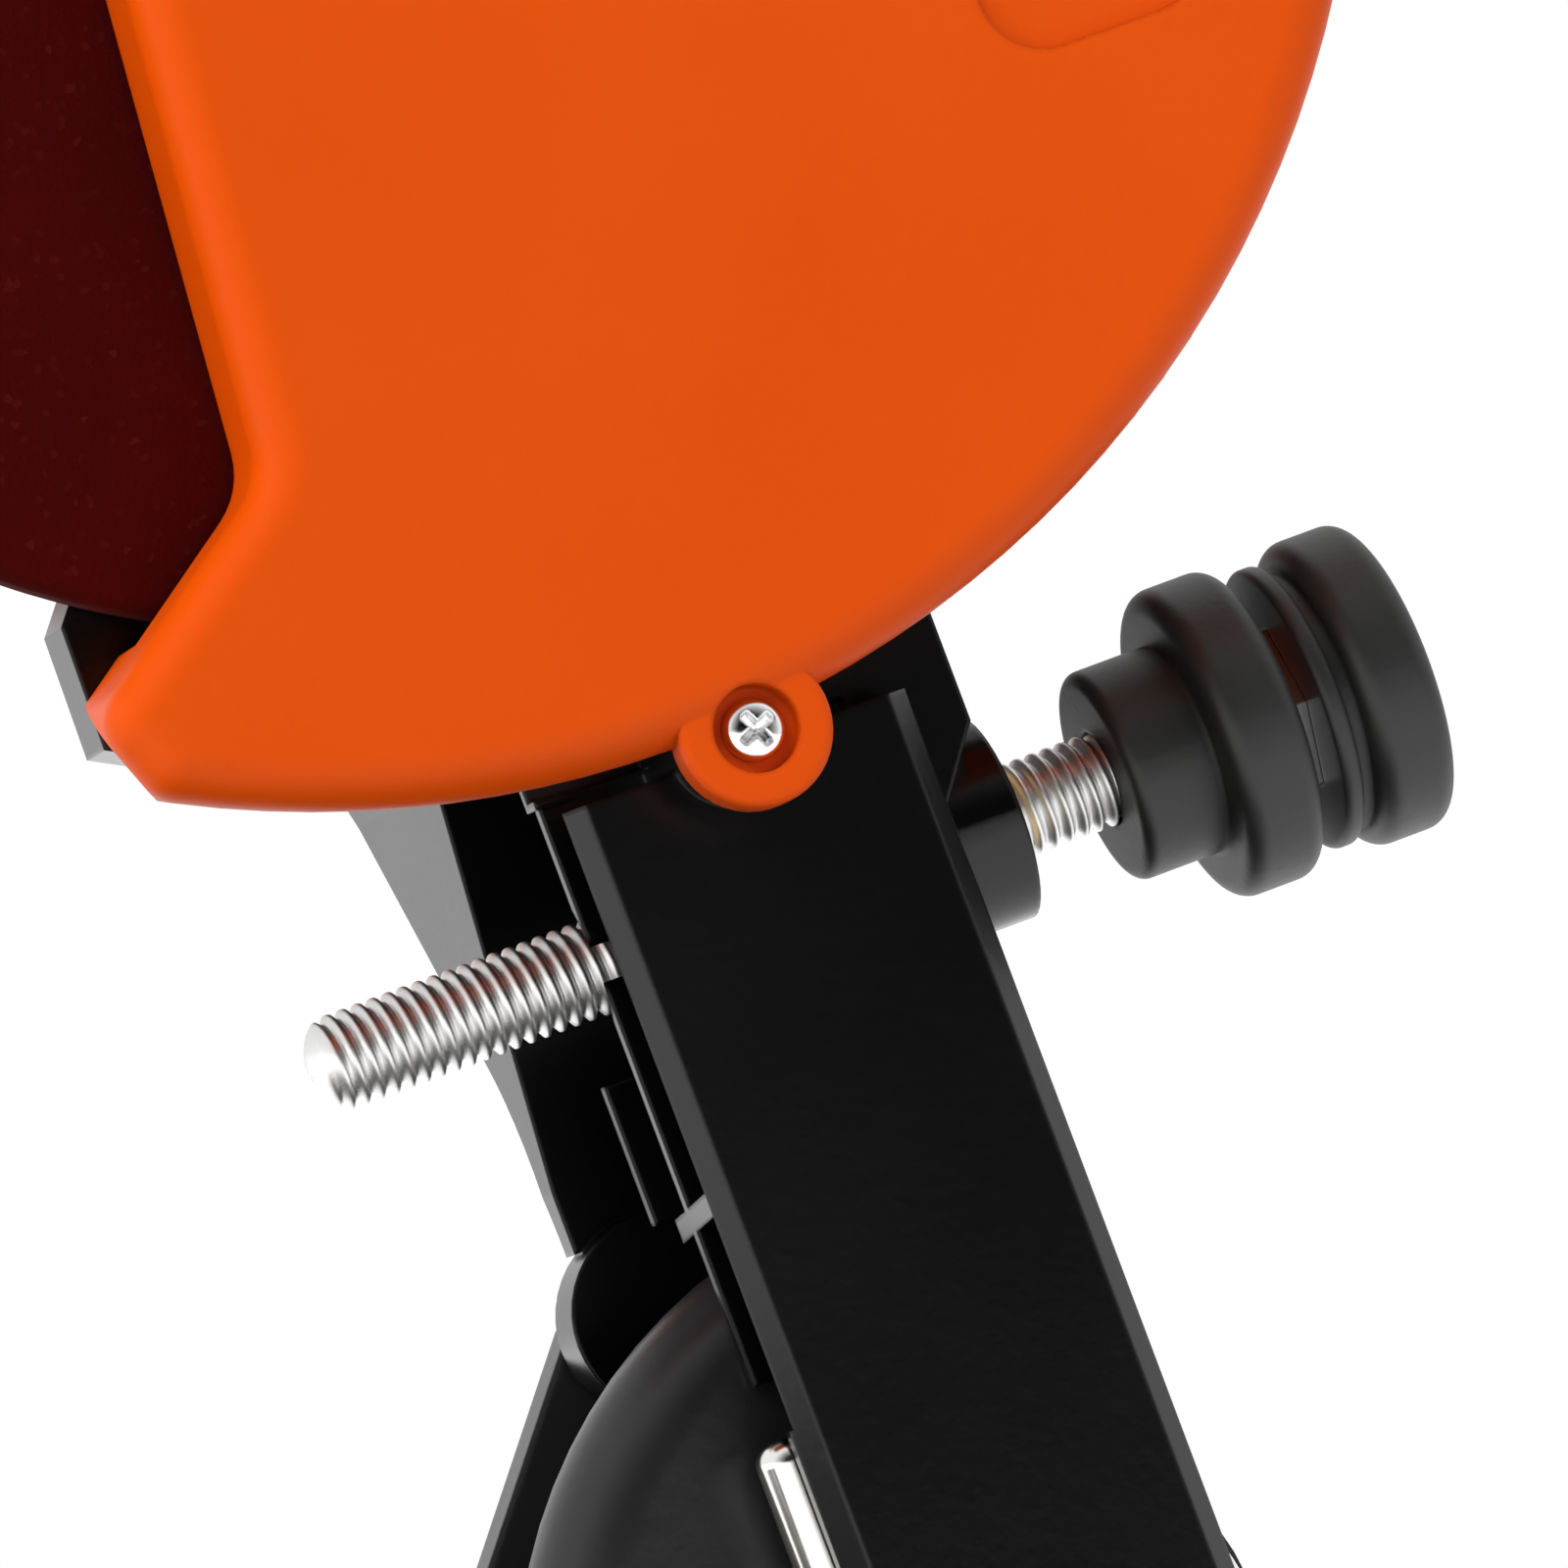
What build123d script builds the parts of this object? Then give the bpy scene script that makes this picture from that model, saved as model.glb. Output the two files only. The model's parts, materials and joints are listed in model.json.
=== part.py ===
from build123d import *
import math
import os

# Bench-mounted electric grinder for saw chains. The frame has +Z up, +X towards the side that the
# wheel cover faces, and -Y towards the person who works at it. The origin is the middle of the
# base's underside. The wheel's mid-plane is X = 0.
#
# Pieces on the swinging arm are drawn in the arm's own frame: its origin is the hinge axis, +Z runs
# along the arm to the wheel, +Y is the arm's back. ARM then leans them into their resting place.

os.makedirs("parts", exist_ok=True)

# Grinding wheel
wheel_diameter = 108.0
wheel_thickness = 3.2
wheel_bore = 22.2
wheel_rim_round = 1.0

# How the arm holds the wheel and how far it swings, in millimetres and degrees
arm_reach = 126.0
wheel_forward = 4.5
lean_angle = 21.1
swing_angle = 55.0

# Small distances between pieces
seat_gap = 0.3
running_gap = 0.05
cut_over = 5.0

# Base
base_length = 216.0
base_width = 116.0
base_corner_radius = 16.0
foot_height = 6.0
base_height = 24.0
base_wall = 4.0
base_draft = 3.0
vice_from_front = 50.0
front_radius = 49.0
rear_body_left = 37.0
rear_body_right = 22.0
rear_body_front_half = 46.0
rear_body_corner = 9.0
rear_body_overhang = 36.0
bench_spacing_x = 92.0
bench_spacing_y = 188.0
bench_hole_radius = 4.25
bench_boss_radius = 8.5
bench_boss_height = 2.0

# Hinge tower on the base
hinge_height = 78.0
drum_radius = 31.5
drum_depth = 9.5
drum_thickness = 6.0
drum_edge_round = 5.0
cup_outer_radius = 15.6
cup_depth_end = 25.5
cup_floor = 2.9
far_tower_depth = 34.3
far_tower_thickness = 4.0
tower_slope = 18.6
tower_front_distance = 30.4
tower_back_reach = 33.0
tower_top_reach = 33.0
tower_corner_round = 6.0
near_wall_overlap = 2.0
far_wall_overlap = 8.0
tower_leg_top = 2.5
pedestal_drop = 34.0
tower_wall = 4.5
cup_web_half = 4.0
up_stop_radius = 3.2
up_stop_height = 24.0

# Hinge axle
axle_radius = 4.0
axle_head_radius = 5.7
axle_head_height = 3.5
axle_socket_across = 5.0
axle_socket_depth = 2.4
axle_nut_across = 13.0
axle_nut_height = 6.8
axle_tail = 2.0
washer_radius = 8.5
washer_thickness = 1.5
bush_wall = 2.0
bush_flange_radius = 8.0
bush_flange_thickness = 1.2

# Return spring
spring_wire_radius = 2.0
spring_mean_radius = 11.3
spring_pitch = 4.72
spring_quarter_turns = 13
spring_leg_depth = 4.9
spring_leg_length = 19.4
spring_end_round = 1.4
spring_tail_length = 11.5
spring_pocket_play = 0.35
lug_length = 5.5
lug_thickness = 4.0

# Arm channel and its ribs, depths measured from the arm's near face
arm_face_x = 3.0
arm_depth = 33.0
arm_half_width = 11.4
arm_wall = 2.5
arm_edge_chamfer = 1.4
channel_bottom = 34.0
channel_above_screw = 10.0
near_wall_above_screw = 9.1
near_wall_bevel = 1.5
far_front_lean = 2.1
far_front_above_screw = 14.0
far_front_foot = 4.0
head_pocket_height = 12.0
rib_thickness = 1.0
rib_setback = 0.5
near_rib_depth = 8.1
near_rib_bottom = 22.8
near_rib_run = 10.0
far_rib_depth = 18.0
far_rib_below_screw = 7.0
cross_rib_height = 1.5
cross_rib_lift = 0.9
cross_rib_fall = 1.0
cross_rib_reach = 12.5
nose_radius = 6.4
nose_height = 28.6
nose_forward = 9.5
nose_depth = 5.0

# Head block, back plate and motor cradle
plate_depth = 6.5
plate_thickness = 6.0
plate_radius = 61.7
plate_hub_radius = 38.0
plate_cut_shares = [
    (-0.36, -0.60), (-0.561, -0.85), (-0.569, -1.26), (-1.60, -1.26), (-1.60, 1.50), (-0.30, 1.50),
    (-0.20, 0.60)]
flare_radius = 18.0
block_depth = 61.0
block_back = 15.9
block_back_above_screw = 6.0
block_below_wheel = 21.0
cradle_radius = 38.0
cradle_wall = 3.6
cradle_front_wall = 4.5
flange_recess_radius = 18.5
flange_recess_depth = 1.6

# Limit screw, positions measured forward from the arm's centre line
screw_radius = 3.0
screw_drop = 1.75
screw_depth = 14.5
screw_tip = 28.5
screw_dome = 2.2
screw_out_travel = 3.0
boss_radius = 6.5
boss_back = 17.3
boss_front = 1.0
insert_radius = 4.6
insert_length = 9.0
lock_hub_radius = 6.75
lock_hub_front = 24.4
lock_flange_front = 29.9
lock_flange_radius = 10.0
lock_flange_back = 35.2
nut_across_flats = 10.0
nut_front = 35.5
knob_front = 36.8
knob_neck_radius = 8.2
knob_rim = 1.3
knob_groove = 0.9
knob_radius = 9.9
knob_back = 44.1
knob_edge = 0.8
knob_round = 1.3
stop_pad_radius = 6.0
stop_pad_thickness = 3.0
pillar_half_width = 7.5
pillar_front_share = 1.3
pillar_back_share = 2.4

# Wheel cover
cover_radius = 65.7
cover_face_depth = 8.0
cover_back_depth = 8.0
cover_face_wall = 2.5
cover_rim_wall = 3.0
cover_draft = 8.0
cover_tip_draft = 14.0
cover_edge_round = 2.8
cover_gap = 0.3
wheel_room = 2.0
cover_cut_shares = [
    (-0.105, 1.30), (-0.235, -0.160), (-0.279, -0.642), (-0.503, -0.798), (-0.431, -0.990),
    (-1.60, -0.990), (-1.60, 1.30)]
cut_corner_round = 5.0
tip_round = 3.0
panel_centre_y = 40.0
panel_centre_z = -10.2
panel_width = 14.4
panel_height = 48.0
panel_corner = 4.0
panel_recess = 0.6
ear_distance = 66.45
ear_radius = 4.75
ear_drop = 0.5
ear_thickness = 3.0
ear_edge_round = 0.5
ear_post_radius = 3.8
ear_turn_shares = [-0.2397, 0.0611, 0.2333]
ear_neck_half = 3.5
cover_screw_radius = 1.25
cover_screw_head = 1.9
cover_screw_head_height = 1.6
cover_recess_radius = 2.7
cover_recess_depth = 1.5
cover_screw_length = 12.5

# Motor
stator_radius = 34.1
stator_inner_radius = 17.6
stator_flat_half = 27.0
stator_depth = 27.5
stator_length = 27.0
winding_radius = 26.0
winding_length = 3.5
rotor_radius = 16.8
rotor_coil_radius = 13.5
rotor_coil_length = 3.5
shaft_radius = 4.0
tail_radius = 3.0
shaft_front = 7.9
bearing_outer_radius = 11.0
bearing_width = 7.0
bearing_race = 2.2
tail_bearing_radius = 9.5
tail_bearing_width = 6.0
fan_radius = 31.0
fan_hub_radius = 8.0
fan_depth = 18.2
fan_plate = 1.5
fan_blade_height = 3.6
fan_blades = 9
fan_blade_thickness = 1.4
commutator_radius = 11.0
commutator_length = 12.0
commutator_gap = 4.0
brush_gap = 0.3
brush_width = 5.0
brush_height = 8.0
brush_cap_radius = 6.0
brush_cap_rise = 0.8
brush_cap_length = 7.0
brush_slot_half = 0.5
housing_length = 38.0
housing_wall = 3.0
housing_slots = 8
housing_slot_width = 3.0
housing_slot_length = 12.0
spider_wall = 2.6
spider_spokes = 4
spider_spoke_half = 4.0
end_cap_length = 9.0
end_cap_wall = 2.5
end_cap_round = 5.0
end_cap_slots = 5
end_cap_slot_width = 2.6
end_cap_slot_pitch = 8.0
housing_screw_radius = 1.6
housing_screw_head = 2.8
housing_screw_ring = 41.1
housing_screw_boss = 4.2
housing_screw_length = 12.0
housing_screw_count = 4

# Wheel flanges and nut
flange_radius = 17.0
inner_flange_thickness = 1.8
outer_flange_thickness = 2.2
flange_pilot_radius = 11.05
flange_relief_radius = 11.5
flange_relief_depth = 0.7
spindle_nut_across = 13.0
spindle_nut_height = 3.4

# Handle, switch and cord inlet
handle_depth = 37.0
handle_radius = 9.0
handle_length = 78.0
handle_collar_radius = 13.0
handle_collar_length = 12.0
grip_radius = 12.6
grip_waist = 1.2
grip_length = 56.0
grip_ribs = 6
grip_rib_width = 2.6
grip_rib_depth = 0.8
grip_end_round = 4.0
grip_end_wall = 2.5
switch_depth = 37.0
switch_width = 15.0
switch_height = 22.0
switch_bezel = 2.0
switch_bezel_edge = 1.0
switch_body_depth = 11.0
switch_pad_edge = 2.5
switch_pad_rise = 2.0
rocker_radius = 7.0
rocker_width = 10.2
rocker_play = 0.3
rocker_notch = 1.6
rocker_tilt = 14.0
rocker_sink = 3.0
bush_hole_radius = 3.6
cord_bush_radius = 6.0
cord_bush_flange = 7.6
cord_bush_rim = 2.0
cord_bush_depth = 8.0
cord_bush_below_cradle = 10.0
cord_bush_x_depth = 40.0

# Vice
table_radius = 39.0
table_thickness = 8.0
table_gap = 0.4
socket_radius = 16.0
hub_radius = 11.0
hub_depth = 14.0
socket_floor_bottom = 7.0
socket_floor_top = 10.0
pivot_radius = 3.0
pivot_hole_radius = 4.0
pivot_head_radius = 5.5
pivot_head_height = 3.4
pivot_washer_radius = 9.0
pivot_washer_thickness = 1.4
pivot_length = 18.0
table_edge_round = 1.5
pointer_half = 2.2
pointer_reach = 2.0
pointer_height = 2.0
rail_below_wheel = 2.0
rail_length = 60.0
rail_thickness = 3.0
rail_top_chamfer = 0.8
slot_half = 1.6
rail_foot_width = 9.0
rail_foot_thickness = 3.0
rear_foot_end = 22.0
jaw_foot_width = 6.0
pin_radius = 2.0
pin_spread = 20.0
pin_height = 5.0
pin_front = 9.5
vice_screw_radius = 1.9
vice_screw_head = 3.4
vice_screw_head_height = 2.0
vice_screw_length = 5.0
vice_screw_back = 9.6
vice_screw_xs = [-20.0, 10.0]
clamp_wall_front = 20.0
clamp_wall_back = 14.0
clamp_wall_half = 12.0
clamp_wall_round = 8.0
clamp_screw_radius = 4.0
clamp_height = 8.2
clamp_wall_above = 7.0
clamp_knob_radius = 10.0
clamp_knob_room = 0.8
clamp_knob_gap = 3.0
clamp_knob_length = 13.0
clamp_knob_neck = 7.0
clamp_knob_neck_length = 4.0
clamp_lobes = 6
clamp_lobe_radius = 2.2

# Chain stop on the vice
bracket_near = 24.0
bracket_thickness = 6.0
bracket_front = 5.0
bracket_back = 14.0
bracket_foot_back = 21.6
bracket_foot_thickness = 3.0
bracket_round = 4.0
stop_axis_back = 9.5
stop_axis_above_rail = 2.4
stop_rod_radius = 2.5
stop_rod_inner = 11.6
pawl_near = 12.0
pawl_hub_length = 6.0
pawl_hub_radius = 4.2
pawl_finger_width = 4.0
pawl_finger_reach = 2.4
pawl_finger_thickness = 2.2
pawl_finger_lift = 0.5
stop_knob_gap = 1.5
stop_knob_length = 8.0
stop_knob_radius = 7.0
stop_knob_flutes = 10
stop_knob_flute = 0.9

# Angle scale and vice lock
scale_inner_gap = 3.0
scale_width = 6.0
scale_half_angle = 45.0
scale_thickness = 0.8
lock_screw_radius = 3.0
lock_height = 12.0
lock_boss_radius = 6.5
lock_knob_neck = 6.0
lock_knob_neck_length = 4.0
lock_knob_wing_radius = 11.0
lock_knob_length = 12.0
lock_knob_gap = 1.5
lock_lobes = 5
lock_lobe_radius = 3.0

# Places worked out from the sizes above
wheel_radius = wheel_diameter / 2
half_wheel = wheel_thickness / 2
ear_angles = [share * 360 for share in ear_turn_shares]
housing_screw_angles = [(turn + 0.5) * 360 / housing_screw_count for turn in range(housing_screw_count)]
# The limit screw sits just under halfway between the tower's drum and the wheel's rim
screw_height = (drum_radius + arm_reach - wheel_radius) / 2 - screw_drop
channel_top = screw_height + channel_above_screw
near_wall_top = screw_height + near_wall_above_screw
far_rib_top = screw_height - far_rib_below_screw
block_back_bottom = screw_height + block_back_above_screw
block_top = arm_reach - block_below_wheel
cord_bush_height = arm_reach - cradle_radius - cord_bush_below_cradle
down_angle = math.radians(lean_angle + swing_angle)
reach_forward = arm_reach * math.sin(down_angle) + wheel_forward * math.cos(down_angle)
reach_up = arm_reach * math.cos(down_angle) - wheel_forward * math.sin(down_angle)
vice_y = vice_from_front - base_length / 2
hinge_y = vice_y + reach_forward
rear_y = hinge_y + rear_body_overhang
table_bottom = base_height + table_gap
table_top = table_bottom + table_thickness
rail_top = hinge_height + reach_up - wheel_radius - rail_below_wheel
front_of_base = -base_length / 2
wheel_y = -wheel_forward
wheel_z = arm_reach
ARM = Pos(0, hinge_y, hinge_height) * Rot(lean_angle, 0, 0)
ARM_DOWN = Pos(0, hinge_y, hinge_height) * Rot(lean_angle + swing_angle, 0, 0)
VICE = Pos(0, vice_y, 0)
AT_WHEEL = Pos(0, wheel_y, wheel_z)


def depth(distance):
    """X of a plane that lies this far behind the arm's near face."""
    return arm_face_x - distance


def along_x(shape, start, end):
    return extrude(Plane.YZ.offset(start) * shape, amount=end - start, dir=(1, 0, 0))


def along_y(shape, start, end):
    plane = Plane((0, start, 0), x_dir=(1, 0, 0), z_dir=(0, -1, 0))
    return extrude(plane * shape, amount=end - start, dir=(0, 1, 0))


def along_z(shape, start, end):
    return extrude(Pos(0, 0, start) * shape, amount=end - start, dir=(0, 0, 1))


def disc(radius, start, end, y=0, z=0):
    return along_x(Pos(y, z) * Circle(radius), start, end)


def rod_y(radius, start, end, x=0, z=0):
    return along_y(Pos(x, z) * Circle(radius), start, end)


def rod_z(radius, start, end, x=0, y=0):
    return along_z(Pos(x, y) * Circle(radius), start, end)


def block(x0, x1, y0, y1, z0, z1):
    return Pos(x0, y0, z0) * Box(x1 - x0, y1 - y0, z1 - z0, align=Align.MIN)


def polygon(points):
    return make_face(Polyline(*points, close=True))


def scaled(shares, size):
    return [(a * size, b * size) for a, b in shares]


def polar(distance, angle):
    return distance * math.cos(math.radians(angle)), distance * math.sin(math.radians(angle))


def nearest_vertices(shape, points):
    return [shape.vertices().sort_by_distance((a, b, 0))[0] for a, b in points]


def at_rest(y, z):
    """Y and Z of a point of the arm's frame while the arm is up."""
    lean = math.radians(lean_angle)
    return (hinge_y + y * math.cos(lean) - z * math.sin(lean),
            hinge_height + y * math.sin(lean) + z * math.cos(lean))


def knob_profile(radius, flutes, flute):
    """Round knob outline with finger flutes cut into its edge."""
    outline = Circle(radius)
    for turn in range(flutes):
        y, z = polar(radius, turn * 360 / flutes)
        outline -= Pos(y, z) * Circle(flute)
    return outline


# Base

def tower_front_y(z):
    """Y of the tower's sloping front at a height."""
    slope = math.radians(tower_slope)
    return hinge_y - tower_front_distance / math.cos(slope) + (z - hinge_height) * math.tan(slope)


def base_body():
    rear = [
        (-rear_body_front_half, vice_y), (rear_body_front_half, vice_y),
        (rear_body_right, rear_y), (-rear_body_left, rear_y)]
    rear_face = polygon(rear)
    rear_face = fillet(nearest_vertices(rear_face, rear[2:]), radius=rear_body_corner)
    outline = Pos(0, vice_y) * Circle(front_radius) + rear_face
    foot = RectangleRounded(base_width, base_length, base_corner_radius)
    body = along_z(foot, 0, foot_height) + extrude(outline, amount=base_height, taper=base_draft)
    inside = offset(outline, amount=-base_wall)
    body -= extrude(inside, amount=base_height - base_wall, taper=base_draft)
    for x in (-bench_spacing_x / 2, bench_spacing_x / 2):
        for y in (-bench_spacing_y / 2, bench_spacing_y / 2):
            body += rod_z(bench_boss_radius, 0, foot_height + bench_boss_height, x, y)
            body -= rod_z(bench_hole_radius, -cut_over, foot_height + bench_boss_height + cut_over, x, y)
    return body


def pivot_socket(body):
    body += VICE * rod_z(socket_radius, socket_floor_bottom, base_height)
    body -= VICE * rod_z(hub_radius + running_gap, socket_floor_top, base_height + cut_over)
    body -= VICE * rod_z(pivot_hole_radius, 0, socket_floor_top + cut_over)
    body += rod_y(lock_boss_radius, vice_y - front_radius + base_wall / 2, vice_y - hub_radius - base_wall,
                  0, lock_height)
    front = vice_y - front_radius
    body -= rod_y(lock_screw_radius + running_gap, front - cut_over, vice_y - hub_radius + cut_over,
                  0, lock_height)
    return body - VICE * rod_z(hub_radius + running_gap, socket_floor_top, base_height + cut_over)


def leg_cut(reach, back, pedestal_top):
    """Area behind a tower wall: down along the arm's back, then out to the pedestal."""
    far = back + 2 * drum_radius
    return polygon([
        at_rest(reach, 2 * drum_radius), at_rest(reach, tower_leg_top), (back, pedestal_top),
        (far, pedestal_top), (far, hinge_height + 2 * drum_radius)])


def near_wall_outline(back, pedestal_top):
    low = base_height - base_wall
    leg = polygon([
        (tower_front_y(low), low), (tower_front_y(pedestal_top), pedestal_top),
        (hinge_y - drum_radius, hinge_height), (hinge_y + drum_radius, hinge_height),
        (back, pedestal_top), (back, low)])
    reach = arm_half_width + near_wall_overlap
    outline = leg + Pos(hinge_y, hinge_height) * Circle(drum_radius) - leg_cut(reach, back, pedestal_top)
    corner = nearest_vertices(outline, [at_rest(reach, math.sqrt(drum_radius ** 2 - reach ** 2))])
    return fillet(corner, radius=tower_corner_round)


def far_wall_outline(back, pedestal_top):
    low = base_height - base_wall
    lean = math.radians(lean_angle)
    reach = arm_half_width + far_wall_overlap
    top = hinge_height + tower_top_reach
    shoulder = hinge_height + tower_top_reach * math.cos(2 * lean)
    corners = [
        (tower_front_y(shoulder), shoulder), (hinge_y - tower_top_reach / 3, top),
        at_rest(reach, (tower_top_reach - reach * math.sin(lean)) / math.cos(lean))]
    outline = polygon([(tower_front_y(low), low)] + corners + [
        at_rest(reach, tower_leg_top), (back, pedestal_top), (back, low)])
    return fillet(nearest_vertices(outline, corners), radius=tower_corner_round)


def drum_wall(outline, start, end):
    """Near tower wall: a drum with a round edge that stands on a flat leg."""
    drum = disc(drum_radius, start, end, hinge_y, hinge_height)
    drum = fillet(drum.faces().sort_by(Axis.X)[-1].edges(), radius=drum_edge_round)
    reach = 2 * drum_radius
    drum += block(start, end, hinge_y - reach, hinge_y + reach, 0, hinge_height - drum_radius / 3)
    return along_x(outline, start, end) & drum


def tower():
    low = base_height - base_wall
    pedestal_top = hinge_height - pedestal_drop
    near_x = depth(drum_depth)
    drum_back_x = near_x - drum_thickness
    far_x = depth(far_tower_depth)
    far_end_x = far_x - far_tower_thickness
    back = hinge_y + tower_back_reach
    solid = drum_wall(near_wall_outline(back, pedestal_top), drum_back_x, near_x)
    solid += along_x(far_wall_outline(back, pedestal_top), far_end_x, far_x)
    pedestal = polygon([
        (tower_front_y(low), low), (tower_front_y(pedestal_top), pedestal_top), (back, pedestal_top),
        (back, low)])
    solid += along_x(pedestal, far_end_x, near_x)
    cup_end = depth(cup_depth_end)
    solid += disc(cup_outer_radius, cup_end, drum_back_x, hinge_y, hinge_height)
    solid += block(cup_end, drum_back_x, hinge_y - cup_web_half, hinge_y + cup_web_half,
                   pedestal_top, hinge_height)
    return solid


def tower_cuts(body):
    pedestal_top = hinge_height - pedestal_drop
    cup_end = depth(cup_depth_end)
    near_x = depth(drum_depth)
    far_end_x = depth(far_tower_depth) - far_tower_thickness
    pocket = spring_mean_radius + spring_wire_radius + spring_pocket_play
    body -= disc(pocket, cup_end + cup_floor, near_x + cut_over, hinge_y, hinge_height)
    body -= disc(axle_radius + running_gap, far_end_x - cut_over, near_x + cut_over, hinge_y, hinge_height)
    slot_half_width = spring_wire_radius + seat_gap
    coil_end_x = depth(spring_leg_depth) - spring_pitch * spring_quarter_turns / 4
    body -= ARM * block(coil_end_x - slot_half_width, coil_end_x + slot_half_width,
                        0, cup_outer_radius + cut_over,
                        -spring_mean_radius - slot_half_width, -spring_mean_radius + slot_half_width)
    front = tower_front_y(pedestal_top) + tower_wall
    body -= block(far_end_x + tower_wall, near_x - tower_wall, front, hinge_y + tower_back_reach - tower_wall,
                  0, pedestal_top - tower_wall)
    return body


def up_stop():
    """Round stud on the far tower wall that the arm's far cheek rests against."""
    y = arm_half_width + seat_gap + up_stop_radius
    far_x = depth(far_tower_depth)
    return ARM * disc(up_stop_radius, far_x - far_tower_thickness / 2, depth(arm_depth - arm_wall) + seat_gap,
                      y, up_stop_height)


def stop_pillar():
    """Pillar that carries the stop pad, its top square to the limit screw when the arm is down."""
    angle = down_angle
    pad_back = screw_tip + screw_out_travel + seat_gap + stop_pad_thickness
    foot_z = base_height - base_wall
    top_y = hinge_y - screw_height * math.sin(angle) - pad_back * math.cos(angle)
    top_z = hinge_height + screw_height * math.cos(angle) - pad_back * math.sin(angle)
    profile = polygon([
        (top_y - pillar_half_width * pillar_front_share, foot_z), (top_y - pillar_half_width, top_z),
        (top_y - pillar_half_width, top_z + cut_over), (top_y + pillar_half_width, top_z + cut_over),
        (top_y + pillar_half_width, top_z), (top_y + pillar_half_width * pillar_back_share, foot_z)])
    x = depth(screw_depth)
    pillar = along_x(profile, x - pillar_half_width, x + pillar_half_width)
    above = block(x - pillar_half_width - cut_over, x + pillar_half_width + cut_over,
                  -pad_back, pad_back, 0, 2 * screw_height)
    return pillar - ARM_DOWN * above


def base_casting():
    body = base_body() + tower() + stop_pillar()
    body = tower_cuts(body) + up_stop()
    body = pivot_socket(body)
    return body


def stop_pad():
    back = screw_tip + screw_out_travel + seat_gap
    pad = rod_y(stop_pad_radius, -back - stop_pad_thickness, -back, depth(screw_depth), screw_height)
    return ARM_DOWN * pad


def hexagon(across_flats):
    return RegularPolygon(across_flats / 2, 6, major_radius=False)


def chamfered_profile(radius, start, end):
    """Half section of a disc along X whose two edges are bevelled by a tenth of its radius."""
    bevel = radius / 10
    return polygon([
        (start, 0), (start, radius - bevel), (start + bevel / 2, radius), (end - bevel / 2, radius),
        (end, radius - bevel), (end, 0)])


def revolve_x(section):
    return revolve(section, axis=Axis.X)


def hinge_axle():
    """Axle with a low round head that has a hexagon socket."""
    head_x = arm_face_x + seat_gap
    head_end = head_x + axle_head_height
    nut_end = depth(far_tower_depth) - far_tower_thickness - washer_thickness - axle_nut_height
    axle = disc(axle_radius, nut_end - axle_tail, head_x)
    axle += revolve_x(chamfered_profile(axle_head_radius, head_x, head_end))
    axle -= along_x(hexagon(axle_socket_across), head_end - axle_socket_depth, head_end + cut_over)
    return Pos(0, hinge_y, hinge_height) * axle


def hinge_nut():
    start = depth(far_tower_depth) - far_tower_thickness - washer_thickness
    end = start - axle_nut_height
    nut = along_x(hexagon(axle_nut_across), end, start)
    nut &= revolve_x(chamfered_profile(axle_nut_across / 2 / math.cos(math.pi / 6), end, start))
    nut -= disc(axle_radius + running_gap, end - cut_over, start + cut_over)
    return Pos(0, hinge_y, hinge_height) * nut


def hinge_washer():
    far = depth(far_tower_depth) - far_tower_thickness
    ring = Circle(washer_radius) - Circle(axle_radius + running_gap)
    return Pos(0, hinge_y, hinge_height) * along_x(ring, far - washer_thickness, far)


# Return spring

def coil_point(angle, start_x):
    """Point of the coil's centre line in the arm frame; the coil starts at the arm's front."""
    turn = math.pi + angle
    x = start_x - spring_pitch * angle / (2 * math.pi)
    return Vector(x, spring_mean_radius * math.cos(turn), spring_mean_radius * math.sin(turn))


def coil_direction(angle, rise=-spring_pitch / (2 * math.pi)):
    turn = math.pi + angle
    along = Vector(rise, -spring_mean_radius * math.sin(turn), spring_mean_radius * math.cos(turn))
    return along.normalized()


def biarc(start, start_direction, end, end_direction):
    """Two arcs that leave one point and reach the next along the given directions."""
    chord = end - start
    both = start_direction + end_direction
    a = 2 * (1 - start_direction.dot(end_direction))
    b = chord.dot(both)
    reach = (math.sqrt(b * b + a * chord.dot(chord)) - b) / a
    first = start + start_direction * reach
    second = end - end_direction * reach
    middle = (first + second) * 0.5
    return [
        TangentArc(start, middle, tangent=start_direction),
        TangentArc(middle, end, tangent=(second - first).normalized())]


def spring_path():
    start_x = depth(spring_leg_depth)
    angles = [step * math.pi / 2 for step in range(spring_quarter_turns + 1)]
    points = [coil_point(angle, start_x) for angle in angles]
    directions = [coil_direction(angle) for angle in angles]
    directions[0] = coil_direction(angles[0], 0)
    directions[-1] = coil_direction(angles[-1], 0)
    edges = [Line(points[0] - directions[0] * spring_leg_length, points[0])]
    for step in range(spring_quarter_turns):
        edges += biarc(points[step], directions[step], points[step + 1], directions[step + 1])
    edges.append(Line(points[-1], points[-1] + directions[-1] * spring_tail_length))
    return edges


def return_spring():
    edges = spring_path()
    path = Wire([edge.edge() for edge in edges])
    start = edges[0] @ 0
    section = Plane(start, z_dir=edges[0] % 0) * Circle(spring_wire_radius)
    wire = sweep(section, path=path)
    leg_end = wire.edges().filter_by(GeomType.CIRCLE).sort_by_distance(start)[0]
    wire = fillet(leg_end, radius=spring_end_round)
    print("spring gap between turns", round(spring_gap(edges), 3))
    print("spring volume ratio", round(wire.volume / (path.length * math.pi * spring_wire_radius ** 2), 4))
    return ARM * wire


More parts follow.
